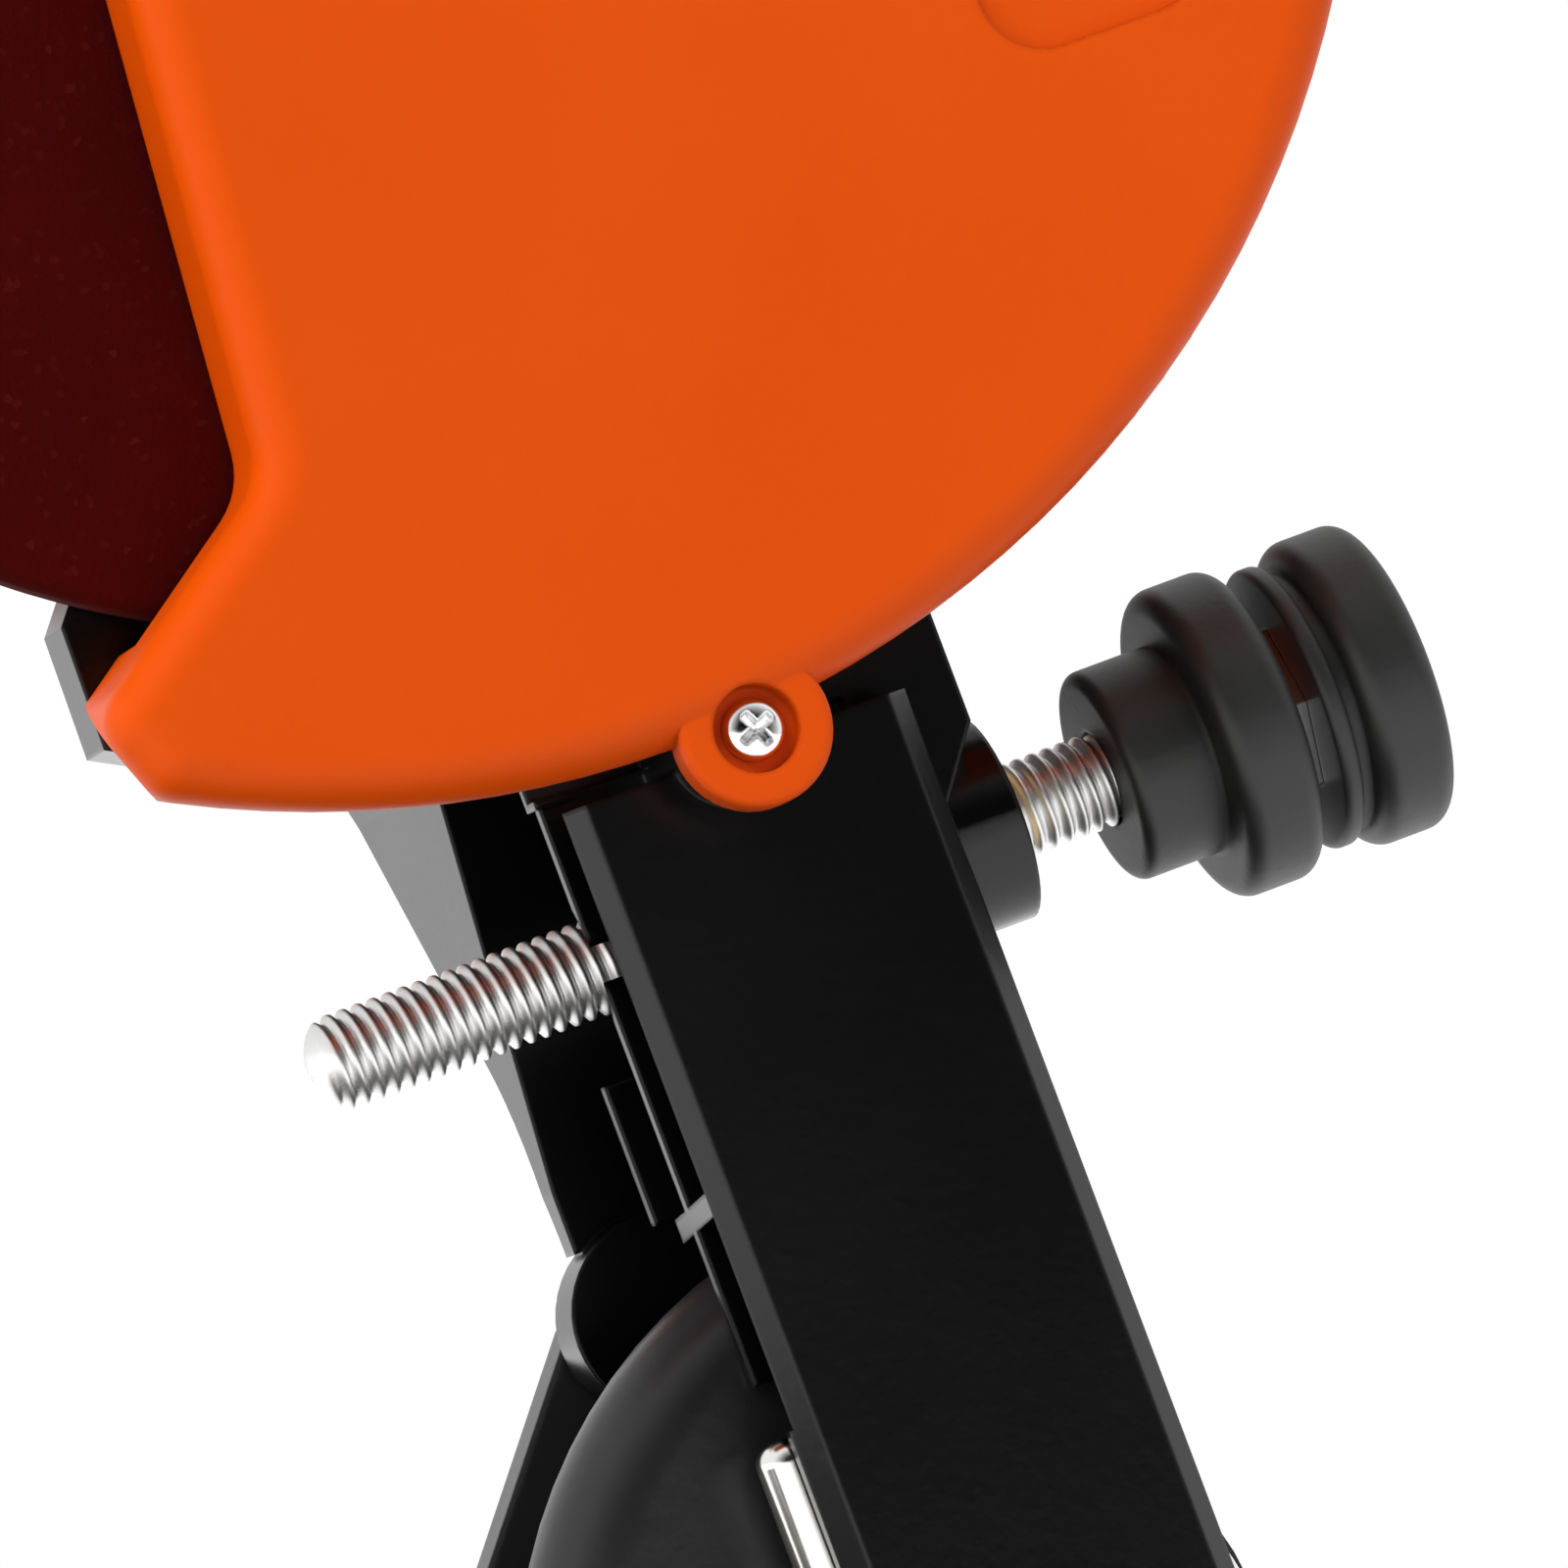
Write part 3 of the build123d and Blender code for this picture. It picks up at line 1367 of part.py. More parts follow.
def vice_table():
    table = rod_z(table_radius, table_bottom, table_top)
    table = fillet(table.faces().sort_by(Axis.Z)[-1].edges(), radius=table_edge_round)
    table += rod_z(hub_radius, table_bottom - hub_depth, table_bottom)
    table -= rod_z(pivot_radius + running_gap, 0, socket_floor_top + hub_depth)
    tip = -table_radius - pointer_reach
    root = -table_radius + pointer_reach
    pointer = polygon([(-pointer_half, root), (0, tip), (pointer_half, root)])
    table += along_z(pointer, table_bottom + pointer_height, table_bottom + 2 * pointer_height)
    clamp_z = table_top + clamp_height
    table -= rod_y(clamp_knob_radius + clamp_knob_room, -2 * table_radius, -clamp_wall_front, 0, clamp_z)
    wall = along_y(Pos(0, table_top) * Rectangle(2 * clamp_wall_half, 2 * (clamp_height + clamp_wall_above)),
                   -clamp_wall_front, -clamp_wall_back)
    top_corners = wall.edges().filter_by(Axis.Y).sort_by(Axis.Z)[-2:]
    wall = fillet(top_corners, radius=clamp_wall_round)
    wall -= block(-table_radius, table_radius, -table_radius, table_radius, 0, table_top - table_thickness / 2)
    table += wall
    table -= rod_y(clamp_screw_radius + running_gap, -table_radius, -clamp_wall_back + cut_over, 0, clamp_z)
    for x in vice_screw_xs:
        table -= rod_z(vice_screw_radius + running_gap, table_top - vice_screw_length - seat_gap,
                       table_top + cut_over, x, vice_screw_back)
    bracket_x = bracket_near + bracket_thickness / 2
    table -= rod_z(vice_screw_radius + running_gap, table_top - vice_screw_length - seat_gap,
                   table_top + cut_over, bracket_x, (bracket_back + bracket_foot_back) / 2)
    return VICE * table


def rail_holes():
    z = table_top + pin_height
    cuts = Part()
    for x in (-pin_spread, pin_spread):
        cuts += rod_y(pin_radius + running_gap, -pin_front - cut_over, slot_half + rail_thickness + cut_over,
                      x, z)
    return cuts


def rear_rail():
    half = rail_length / 2
    face = slot_half
    rail = block(-half, half, face, face + rail_thickness, table_top, rail_top)
    top = rail.edges().filter_by(Axis.X).sort_by(Axis.Z)[-2:]
    rail = chamfer(top, length=rail_top_chamfer)
    rail += block(-half, rear_foot_end, face, face + rail_thickness + rail_foot_width, table_top,
                  table_top + rail_foot_thickness)
    for x in vice_screw_xs:
        rail -= rod_z(vice_screw_radius + running_gap, table_top - cut_over, table_top + cut_over,
                      x, vice_screw_back)
    return VICE * (rail - rail_holes())


def front_rail():
    half = rail_length / 2
    face = -slot_half
    bottom = table_top + running_gap
    rail = block(-half, half, face - rail_thickness, face, bottom, rail_top)
    top = rail.edges().filter_by(Axis.X).sort_by(Axis.Z)[-2:]
    rail = chamfer(top, length=rail_top_chamfer)
    rail += block(-half, half, face - rail_thickness - jaw_foot_width, face,
                  bottom, bottom + rail_foot_thickness)
    return VICE * (rail - rail_holes())


def guide_pins():
    z = table_top + pin_height
    pins = Part()
    for x in (-pin_spread, pin_spread):
        pins += rod_y(pin_radius, -pin_front, slot_half + rail_thickness, x, z)
    return VICE * pins


def vice_screws():
    screws = Part()
    places = [(x, vice_screw_back, table_top + rail_foot_thickness) for x in vice_screw_xs]
    places.append((bracket_near + bracket_thickness / 2, (bracket_back + bracket_foot_back) / 2,
                   table_top + bracket_foot_thickness))
    for x, y, seat in places:
        screws += rod_z(vice_screw_radius, table_top - vice_screw_length, seat, x, y)
        head = rod_z(vice_screw_head, seat, seat + vice_screw_head_height, x, y)
        screws += chamfer(head.faces().sort_by(Axis.Z)[-1].edges(), length=vice_screw_head_height / 3)
    return VICE * screws


def pivot_bolt():
    seat = socket_floor_bottom - seat_gap - pivot_washer_thickness
    bolt = rod_z(pivot_head_radius, seat - pivot_head_height, seat)
    bolt += rod_z(pivot_radius, seat, seat + pivot_length)
    return VICE * bolt


def pivot_washer():
    top = socket_floor_bottom - seat_gap
    ring = Circle(pivot_washer_radius) - Circle(pivot_radius + running_gap)
    return VICE * along_z(ring, top - pivot_washer_thickness, top)


def clamp_screw():
    z = table_top + clamp_height
    knob_start = clamp_wall_front + clamp_knob_gap
    tip = slot_half + rail_thickness + running_gap
    screw = rod_y(clamp_screw_radius, -knob_start - clamp_knob_length / 2, -tip, 0, z)
    return VICE * chamfer(screw.faces().sort_by(Axis.Y)[-1].edges(), length=clamp_screw_radius / 4)


def lobed_knob(radius, lobes, lobe, neck, neck_length, start, length, bore, x, z):
    """Knob along Y whose neck points to +Y and whose grip has round finger hollows."""
    place = Pos(x, z)
    grip = knob_profile(radius, lobes, lobe)
    head = along_y(place * grip, start - length, start - neck_length)
    head = chamfer(head.faces().sort_by(Axis.Y)[0].edges(), length=radius / 10)
    head += along_y(place * Circle(neck), start - neck_length, start)
    return head - along_y(place * Circle(bore + running_gap), start - length / 2, start + cut_over)


def clamp_knob():
    z = table_top + clamp_height
    start = -clamp_wall_front - clamp_knob_gap
    return VICE * lobed_knob(clamp_knob_radius, clamp_lobes, clamp_lobe_radius, clamp_knob_neck,
                             clamp_knob_neck_length, start, clamp_knob_length, clamp_screw_radius, 0, z)


# Chain stop

def stop_height():
    return rail_top + stop_axis_above_rail


def stop_bracket():
    near, far = bracket_near, bracket_near + bracket_thickness
    top = stop_height() + stop_rod_radius + bracket_round / 2
    post = block(near, far, bracket_front, bracket_back, table_top, top)
    post = fillet(post.edges().filter_by(Axis.X).sort_by(Axis.Z)[-2:], radius=bracket_round)
    post += block(near, far, bracket_front, bracket_foot_back, table_top, table_top + bracket_foot_thickness)
    post -= rod_z(vice_screw_radius + running_gap, 0, table_top + cut_over, (near + far) / 2,
                  (bracket_back + bracket_foot_back) / 2)
    post -= disc(stop_rod_radius + running_gap, near - cut_over, far + cut_over, stop_axis_back, stop_height())
    return VICE * post


def stop_rod():
    far = bracket_near + bracket_thickness + stop_knob_gap
    return VICE * disc(stop_rod_radius, stop_rod_inner, far + stop_knob_length / 2, stop_axis_back,
                       stop_height())


def stop_knob():
    start = bracket_near + bracket_thickness + stop_knob_gap
    place = Pos(stop_axis_back, stop_height())
    knob = along_x(place * knob_profile(stop_knob_radius, stop_knob_flutes, stop_knob_flute), start,
                   start + stop_knob_length)
    knob = chamfer(knob.faces().sort_by(Axis.X)[-1].edges(), length=stop_knob_flute / 2)
    bore = disc(stop_rod_radius + running_gap, start - cut_over, start + stop_knob_length / 2, stop_axis_back,
                stop_height())
    return VICE * (knob - bore)


def stop_pawl():
    z = stop_height()
    hub = disc(pawl_hub_radius, pawl_near, pawl_near + pawl_hub_length, stop_axis_back, z)
    bottom = rail_top + pawl_finger_lift
    finger = block(pawl_near, pawl_near + pawl_finger_width, -pawl_finger_reach, stop_axis_back, bottom,
                   bottom + pawl_finger_thickness)
    bore = disc(stop_rod_radius + running_gap, pawl_near - cut_over, pawl_near + pawl_hub_length + cut_over,
                stop_axis_back, z)
    return VICE * (hub + finger - bore)


# Angle scale and vice lock

def angle_scale():
    inner = table_radius + scale_inner_gap
    ring = Circle(inner + scale_width) - Circle(inner)
    reach = 2 * inner
    half = math.radians(scale_half_angle)
    sector = polygon([(0, 0), (-reach * math.sin(half), -reach * math.cos(half)), (0, -reach),
                      (reach * math.sin(half), -reach * math.cos(half))])
    return VICE * along_z(ring & sector, base_height, base_height + scale_thickness)


def vice_lock_screw():
    front = vice_y - front_radius - lock_knob_gap - lock_knob_length / 2
    return rod_y(lock_screw_radius, front, vice_y - hub_radius - seat_gap, 0, lock_height)


def vice_lock_knob():
    start = front_of_base - lock_knob_gap
    return lobed_knob(lock_knob_wing_radius, lock_lobes, lock_lobe_radius, lock_knob_neck,
                      lock_knob_neck_length, start, lock_knob_length, lock_screw_radius, 0, lock_height)


nodes = {
    "base_casting": base_casting, "angle_scale": angle_scale, "stop_pad": stop_pad,
    "hinge_axle": hinge_axle, "hinge_nut": hinge_nut, "hinge_washer": hinge_washer,
    "return_spring": return_spring, "vice_table": vice_table, "rear_rail": rear_rail,
    "front_rail": front_rail, "guide_pins": guide_pins, "vice_screws": vice_screws,
    "pivot_bolt": pivot_bolt, "pivot_washer": pivot_washer, "clamp_screw": clamp_screw,
    "clamp_knob": clamp_knob, "stop_bracket": stop_bracket, "stop_rod": stop_rod,
    "stop_knob": stop_knob, "stop_pawl": stop_pawl, "vice_lock_screw": vice_lock_screw,
    "vice_lock_knob": vice_lock_knob, "arm_casting": arm_casting, "arm_bushes": arm_bushes,
    "guard_cover": guard_cover, "cover_screws": cover_screws, "thread_insert": thread_insert,
    "limit_screw": limit_screw, "limit_nut": limit_nut, "limit_knob": limit_knob,
    "lock_knob": lock_knob, "motor_housing": motor_housing, "housing_screws": housing_screws,
    "end_cap": end_cap, "stator": stator, "front_bearing": front_bearing,
    "rear_bearing": rear_bearing, "carbon_brushes": carbon_brushes, "brush_caps": brush_caps,
    "cord_bush": cord_bush, "handle_bar": handle_bar, "handle_grip": handle_grip,
    "switch_body": switch_body, "switch_rocker": switch_rocker, "rotor": rotor,
    "commutator": commutator, "cooling_fan": cooling_fan, "inner_flange": inner_flange,
    "grinding_wheel": grinding_wheel, "outer_flange": outer_flange, "spindle_nut": spindle_nut,
}

for name, make in nodes.items():
    export_step(make(), "parts/" + name + ".step")
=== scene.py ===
import json
import math

import bmesh
import bpy
from mathutils import Matrix, Vector


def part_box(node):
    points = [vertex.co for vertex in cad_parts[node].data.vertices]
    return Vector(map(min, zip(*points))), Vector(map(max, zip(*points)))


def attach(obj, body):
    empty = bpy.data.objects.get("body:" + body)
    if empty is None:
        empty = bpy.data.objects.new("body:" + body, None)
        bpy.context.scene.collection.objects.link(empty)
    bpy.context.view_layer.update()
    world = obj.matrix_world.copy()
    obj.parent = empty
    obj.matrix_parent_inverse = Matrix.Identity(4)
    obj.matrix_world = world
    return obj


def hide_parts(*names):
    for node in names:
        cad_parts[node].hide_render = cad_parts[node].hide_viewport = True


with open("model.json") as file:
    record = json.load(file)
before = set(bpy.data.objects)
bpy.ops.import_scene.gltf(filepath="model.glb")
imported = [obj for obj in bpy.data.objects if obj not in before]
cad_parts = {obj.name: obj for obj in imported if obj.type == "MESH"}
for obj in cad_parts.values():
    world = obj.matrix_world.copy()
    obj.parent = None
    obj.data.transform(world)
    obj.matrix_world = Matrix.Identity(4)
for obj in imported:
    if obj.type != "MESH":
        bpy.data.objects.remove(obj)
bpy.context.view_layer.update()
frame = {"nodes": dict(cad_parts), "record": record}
nodes = frame["nodes"]

MM = 0.001
ARM_LEAN = math.radians(21.1)
ACROSS, UPWARD = 0, 2


# Places read from the frame

def middle(node):
    """Centre of a node's box."""
    low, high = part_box(node)
    return (Vector(low) + Vector(high)) / 2


HINGE = middle("hinge_axle")
HINGE_LINE = Vector((0, HINGE.y, HINGE.z))
VICE = middle("pivot_washer")


def arm_axis(x, y, z):
    """Vector of the arm's own frame, turned into the scene's frame."""
    c, s = math.cos(ARM_LEAN), math.sin(ARM_LEAN)
    return Vector((x, y * c - z * s, y * s + z * c))


def arm_span(node):
    """Lowest and highest corner of a node along the arm's own axes, from the hinge's line."""
    offsets = [nodes[node].matrix_world @ vert.co - HINGE_LINE for vert in nodes[node].data.vertices]
    axes = (arm_axis(1, 0, 0), arm_axis(0, 1, 0), arm_axis(0, 0, 1))
    spans = [[offset.dot(axis) for offset in offsets] for axis in axes]
    return Vector([min(span) for span in spans]), Vector([max(span) for span in spans])


def loose_parts(node):
    """Lowest and highest corner of each solid in a node."""
    mesh = nodes[node].data
    tidy = bmesh.new()
    tidy.from_mesh(mesh)
    bmesh.ops.remove_doubles(tidy, verts=tidy.verts, dist=0.001 * MM)
    left = set(tidy.verts)
    boxes = []
    while left:
        wave = [left.pop()]
        found = []
        while wave:
            vert = wave.pop()
            found.append(nodes[node].matrix_world @ vert.co)
            for edge in vert.link_edges:
                other = edge.other_vert(vert)
                if other in left:
                    left.remove(other)
                    wave.append(other)
        low = Vector([min(p[i] for p in found) for i in range(3)])
        high = Vector([max(p[i] for p in found) for i in range(3)])
        boxes.append((low, high))
    tidy.free()
    return sorted(boxes, key=lambda pair: tuple(round(a, 6) for a in pair[0]))


# Material helpers

def new_material(name):
    mat = bpy.data.materials.new(name)
    mat.use_nodes = True
    return mat, mat.node_tree, mat.node_tree.nodes["Principled BSDF"]


def coordinates(tree):
    return tree.nodes.new("ShaderNodeTexCoord").outputs["Object"]


def noise(tree, where, scale, detail=4.0):
    node = tree.nodes.new("ShaderNodeTexNoise")
    node.inputs["Scale"].default_value = scale
    node.inputs["Detail"].default_value = detail
    tree.links.new(where, node.inputs["Vector"])
    return node.outputs["Fac"]


def ramp(tree, value, stops):
    node = tree.nodes.new("ShaderNodeValToRGB")
    elements = node.color_ramp.elements
    while len(elements) < len(stops):
        elements.new(0.5)
    for element, (place, colour) in zip(elements, stops):
        element.position = place
        element.color = (*colour, 1.0)
    tree.links.new(value, node.inputs["Fac"])
    return node.outputs["Color"]


def spread(tree, value, low, high, start=0.0, end=1.0):
    """Value that goes from low to high as the input goes from start to end."""
    node = tree.nodes.new("ShaderNodeMapRange")
    node.inputs["From Min"].default_value = start
    node.inputs["From Max"].default_value = end
    node.inputs["To Min"].default_value = low
    node.inputs["To Max"].default_value = high
    tree.links.new(value, node.inputs["Value"])
    return node.outputs["Result"]


def bump(tree, height, strength, distance, normal=None):
    node = tree.nodes.new("ShaderNodeBump")
    node.inputs["Strength"].default_value = strength
    node.inputs["Distance"].default_value = distance
    tree.links.new(height, node.inputs["Height"])
    if normal is not None:
        tree.links.new(normal, node.inputs["Normal"])
    return node.outputs["Normal"]


def soft_edges(tree, radius):
    node = tree.nodes.new("ShaderNodeBevel")
    node.samples = 4
    node.inputs["Radius"].default_value = radius
    return node.outputs["Normal"]


def surface(name, colours, rough, grain, depth, specular=0.5, edge=0.0003, cloud=60.0):
    """Material whose colour and roughness vary in soft clouds and whose skin has a fine grain."""
    mat, tree, shader = new_material(name)
    where = coordinates(tree)
    clouds = noise(tree, where, cloud, detail=5.0)
    colour = ramp(tree, clouds, [(0.35, colours[0]), (0.65, colours[1])])
    tree.links.new(colour, shader.inputs["Base Color"])
    fine = noise(tree, where, grain, detail=3.0)
    tree.links.new(spread(tree, clouds, *rough), shader.inputs["Roughness"])
    skin = bump(tree, fine, strength=1.0, distance=depth, normal=soft_edges(tree, edge))
    tree.links.new(skin, shader.inputs["Normal"])
    shader.inputs["Specular IOR Level"].default_value = specular
    return mat


def turned_metal(name, colours, rough, streak, edge=0.0002):
    """Bright metal with fine lines round it, as a lathe or a die leaves them."""
    mat, tree, shader = new_material(name)
    where = coordinates(tree)
    mapping = tree.nodes.new("ShaderNodeMapping")
    mapping.inputs["Scale"].default_value = (streak, 1.0, 1.0)
    tree.links.new(where, mapping.inputs["Vector"])
    lines = noise(tree, mapping.outputs["Vector"], scale=300.0)
    clouds = noise(tree, where, scale=90.0)
    colour = ramp(tree, clouds, [(0.3, colours[0]), (0.7, colours[1])])
    tree.links.new(colour, shader.inputs["Base Color"])
    tree.links.new(spread(tree, lines, *rough), shader.inputs["Roughness"])
    skin = bump(tree, lines, strength=0.5, distance=0.002 * MM, normal=soft_edges(tree, edge))
    tree.links.new(skin, shader.inputs["Normal"])
    shader.inputs["Metallic"].default_value = 1.0
    return mat


def abrasive(name):
    """Bonded grit: dark red grains of uneven size with a few lighter ones, on a base whose red is darkened
    with painted shade.
    """
    mat, tree, shader = new_material(name)
    where = coordinates(tree)
    grains = tree.nodes.new("ShaderNodeTexVoronoi")
    grains.inputs["Scale"].default_value = 2200.0
    tree.links.new(where, grains.inputs["Vector"])
    clouds = noise(tree, where, scale=60.0, detail=5.0)
    # Very dark base colours: the wheel's own dark red, darkened further with painted shade to how it looks in
    # the cover's shadow
    base = ramp(tree, clouds, [(0.3, (0.034, 0.0003, 0.0003)), (0.7, (0.047, 0.0006, 0.0005))])
    specks = ramp(tree, grains.outputs["Color"], [(0.80, (0.0, 0.0, 0.0)), (0.98, (0.05, 0.010, 0.008))])
    mix = tree.nodes.new("ShaderNodeMix")
    mix.data_type = "RGBA"
    mix.blend_type = "ADD"
    mix.inputs["Factor"].default_value = 0.35
    tree.links.new(base, mix.inputs["A"])
    tree.links.new(specks, mix.inputs["B"])
    tree.links.new(mix.outputs["Result"], shader.inputs["Base Color"])
    grit = bump(tree, grains.outputs["Distance"], strength=0.5, distance=0.06 * MM)
    skin = bump(tree, clouds, strength=0.3, distance=0.2 * MM, normal=grit)
    tree.links.new(skin, shader.inputs["Normal"])
    shader.inputs["Roughness"].default_value = 0.9
    shader.inputs["Specular IOR Level"].default_value = 0.1
    return mat


mats = {
    "cover_orange": surface("cover_orange", [(0.62, 0.064, 0.0003), (0.65, 0.070, 0.0005)], (0.36, 0.46),
                            900.0, 0.00002, specular=0.12, edge=0.0006, cloud=25.0),
    "arm_plastic": surface("arm_plastic", [(0.0006, 0.0006, 0.0007), (0.0010, 0.0010, 0.0011)], (0.20, 0.28),
                           1200.0, 0.00001, specular=0.42, edge=0.0004, cloud=40.0),
    "knob_plastic": surface("knob_plastic", [(0.010, 0.011, 0.010), (0.015, 0.016, 0.015)], (0.42, 0.54),
                            1500.0, 0.00002, specular=0.5, edge=0.0005, cloud=120.0),
    "base_paint": surface("base_paint", [(0.007, 0.007, 0.008), (0.011, 0.011, 0.012)], (0.28, 0.40),
                          500.0, 0.00004, specular=0.50, edge=0.0008, cloud=50.0),
    "bush_plastic": surface("bush_plastic", [(0.62, 0.60, 0.54), (0.70, 0.68, 0.62)], (0.4, 0.55),
                            900.0, 0.00002, edge=0.0002),
    "bush_rubber": surface("bush_rubber", [(0.010, 0.010, 0.010), (0.016, 0.016, 0.016)], (0.6, 0.8),
                           1800.0, 0.00003, specular=0.3),
    "grip_rubber": surface("grip_rubber", [(0.012, 0.012, 0.012), (0.020, 0.020, 0.020)], (0.6, 0.8),
                           1800.0, 0.00004, specular=0.3, edge=0.0005),
    "switch_black": surface("switch_black", [(0.010, 0.010, 0.010), (0.014, 0.014, 0.014)], (0.3, 0.4),
                            1500.0, 0.00001),
    "switch_red": surface("switch_red", [(0.42, 0.010, 0.006), (0.48, 0.014, 0.008)], (0.2, 0.3),
                          1500.0, 0.00001),
    "carbon": surface("carbon", [(0.015, 0.015, 0.016), (0.025, 0.025, 0.026)], (0.5, 0.7), 1500.0, 0.00003),
    "scale_plate": turned_metal("scale_plate", [(0.62, 0.62, 0.63), (0.70, 0.70, 0.71)], (0.3, 0.45), 6.0),
    "steel": turned_metal("steel", [(0.56, 0.56, 0.56), (0.64, 0.64, 0.63)], (0.27, 0.33), 8.0),
    "screw_steel": turned_metal("screw_steel", [(0.74, 0.74, 0.73), (0.84, 0.84, 0.83)], (0.34, 0.46), 4.0),
    "screw_chrome": turned_metal("screw_chrome", [(0.80, 0.80, 0.80), (0.88, 0.88, 0.88)], (0.08, 0.16), 3.0),
    # The spring's first colour has a faint gold tint, a painted reflection spread in random patches over the
    # wire
    "spring_chrome": turned_metal("spring_chrome", [(0.78, 0.76, 0.70), (0.86, 0.86, 0.86)], (0.1, 0.2), 3.0),
    "lamination": turned_metal("lamination", [(0.22, 0.22, 0.23), (0.34, 0.34, 0.35)], (0.35, 0.5), 40.0),
    "brass": turned_metal("brass", [(0.62, 0.42, 0.16), (0.74, 0.53, 0.24)], (0.2, 0.34), 5.0),
    "copper": turned_metal("copper", [(0.60, 0.27, 0.14), (0.74, 0.38, 0.22)], (0.25, 0.4), 5.0),
    "wheel_abrasive": abrasive("wheel_abrasive"),
}

for part in frame["record"]["subparts"]:
    mesh = nodes[part["node"]].data
    mesh.materials.clear()
    mesh.materials.append(mats[part["material_slot"]])


# Mesh helpers

def mesh_piece(name, points, faces, slot, body, smooth=True):
    mesh = bpy.data.meshes.new(name)
    mesh.from_pydata([tuple(p) for p in points], [], faces)
    mesh.update()
    for face in mesh.polygons:
        face.use_smooth = smooth
    piece = bpy.data.objects.new(name, mesh)
    bpy.context.scene.collection.objects.link(piece)
    mesh.materials.append(mats[slot])
    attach(piece, body)
    return piece


def clean(mesh, merge=0.0):
    """Turn all faces outwards, once points closer than merge are joined."""
    tidy = bmesh.new()
    tidy.from_mesh(mesh)
    if merge:
        bmesh.ops.remove_doubles(tidy, verts=tidy.verts, dist=merge)
    bmesh.ops.recalc_face_normals(tidy, faces=tidy.faces)
    tidy.to_mesh(mesh)
    tidy.free()


def axes_along(direction):
    """Two sides square to a direction, then the direction itself."""
    direction = direction.normalized()
    side = direction.orthogonal().normalized()
    return side, direction.cross(side).normalized(), direction


def rings_to_mesh(rings):
    """Points and faces of a skin that joins equal rings in order and closes both ends."""
    wide = len(rings[0])
    points = [point for ring in rings for point in ring]
    faces = []
    for row in range(len(rings) - 1):
        for column in range(wide):
            a = row * wide + column
            b = row * wide + (column + 1) % wide
            faces.append((a, b, b + wide, a + wide))
    faces.append(tuple(reversed(range(wide))))
    faces.append(tuple(range((len(rings) - 1) * wide, len(rings) * wide)))
    return points, faces


# Along one turn of the thread, as shares of the pitch, and into the rod, as shares of the depth
THREAD_PROFILE = [(0.0, 0.0), (0.13, 0.05), (0.40, 0.88), (0.5, 1.0), (0.60, 0.88), (0.87, 0.05)]
THREAD_DEPTH = 0.5
DOME_FLAT = 0.02
ROD_BEVEL = 0.65 * MM


def thread(name, start, direction, length, radius, pitch, slot, body, dome=0.0, bevel=0.0, columns=40):
    """Screw with a rolled thread, whose rows follow the helix. Its far end is domed or both ends bevelled."""
    side, other, along = axes_along(direction)
    depth = THREAD_DEPTH * pitch
    turns = int(length / pitch) + 2
    rows = [(turn - 1 + phase, dip) for turn in range(turns + 1) for phase, dip in THREAD_PROFILE]
    points, faces = [], []
    for place, dip in rows:
        for column in range(columns + 1):
            angle = 2 * math.pi * column / columns
            z = min(max((place + column / columns) * pitch, 0.0), length)
            r = radius - depth * dip
            if dome and z > length - dome:
                into = (z - length + dome) / dome
                r = min(r, radius * (math.sqrt(max(0.0, 1 - into ** 2)) + DOME_FLAT))
            if bevel:
                r = min(r, radius - bevel + z, radius - bevel + (length - z))
            points.append(start + along * z + (side * math.cos(angle) + other * math.sin(angle)) * r)
    wide = columns + 1
    for row in range(len(rows) - 1):
        for column in range(columns):
            a = row * wide + column
            faces.append((a, a + 1, a + wide + 1, a + wide))
    for row, flip in ((0, True), (len(rows) - 1, False)):
        ring = [row * wide + column for column in range(columns)]
        faces.append(tuple(reversed(ring)) if flip else tuple(ring))
    piece = mesh_piece(name, points, faces, slot, body)
    clean(piece.data, 0.002 * MM)
    return piece


def threaded_rod(node, direction, pitch, slot, body):
    """Thread in place of a plain rod that lies along one of the frame's axes."""
    low, high = (Vector(corner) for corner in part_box(node))
    size = high - low
    axis = max(range(3), key=lambda i: size[i])
    start = (low + high) / 2 - direction * size[axis] / 2
    rod = thread(node + "_thread", start, direction, size[axis], min(size) / 2, pitch, slot, body,
                 bevel=ROD_BEVEL)
    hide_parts(node)


# Screw heads

# All of these are shares of the head's radius, apart from the rise, which is a share of the cross's depth
RECESS_EDGE = 0.06
CROSS_HALF, CROSS_REACH, CROSS_DEPTH, CROSS_RISE = 0.13, 0.60, 0.55, 0.45
HEX_REACH, HEX_DEPTH = 0.50, 0.45


def step(value):
    """From 0 to 1 across the edge of a recess."""
    return min(1.0, max(0.0, 0.5 + value / RECESS_EDGE))


def cross_recess(x, y, radius):
    """Depth of a cross recess as a share of the head's radius."""
    x, y = abs(x) / radius, abs(y) / radius
    depths = []
    for a, b in ((x, y), (y, x)):
        depths.append(step(CROSS_HALF - a) * step(CROSS_REACH - b) * (1 - CROSS_RISE * b / CROSS_REACH))
    return CROSS_DEPTH * max(depths)


def hex_recess(x, y, radius):
    """Depth of a six-sided recess as a share of the head's radius."""
    sides = (0.0, math.pi / 3, 2 * math.pi / 3)
    reach = max(abs(x * math.cos(turn) + y * math.sin(turn)) for turn in sides) / radius
    return HEX_DEPTH * step(HEX_REACH - reach)


# Shares of the head's height for its straight skirt and bevel, and of its radius for the seat's bevel
HEAD_SKIRT, HEAD_BEVEL, HEAD_SEAT = 0.45, 0.06, 0.94
# How far the dome's rings close in, and the power that gives the dome its curve
HEAD_CLOSING, HEAD_CROWN = 0.985, 2.6


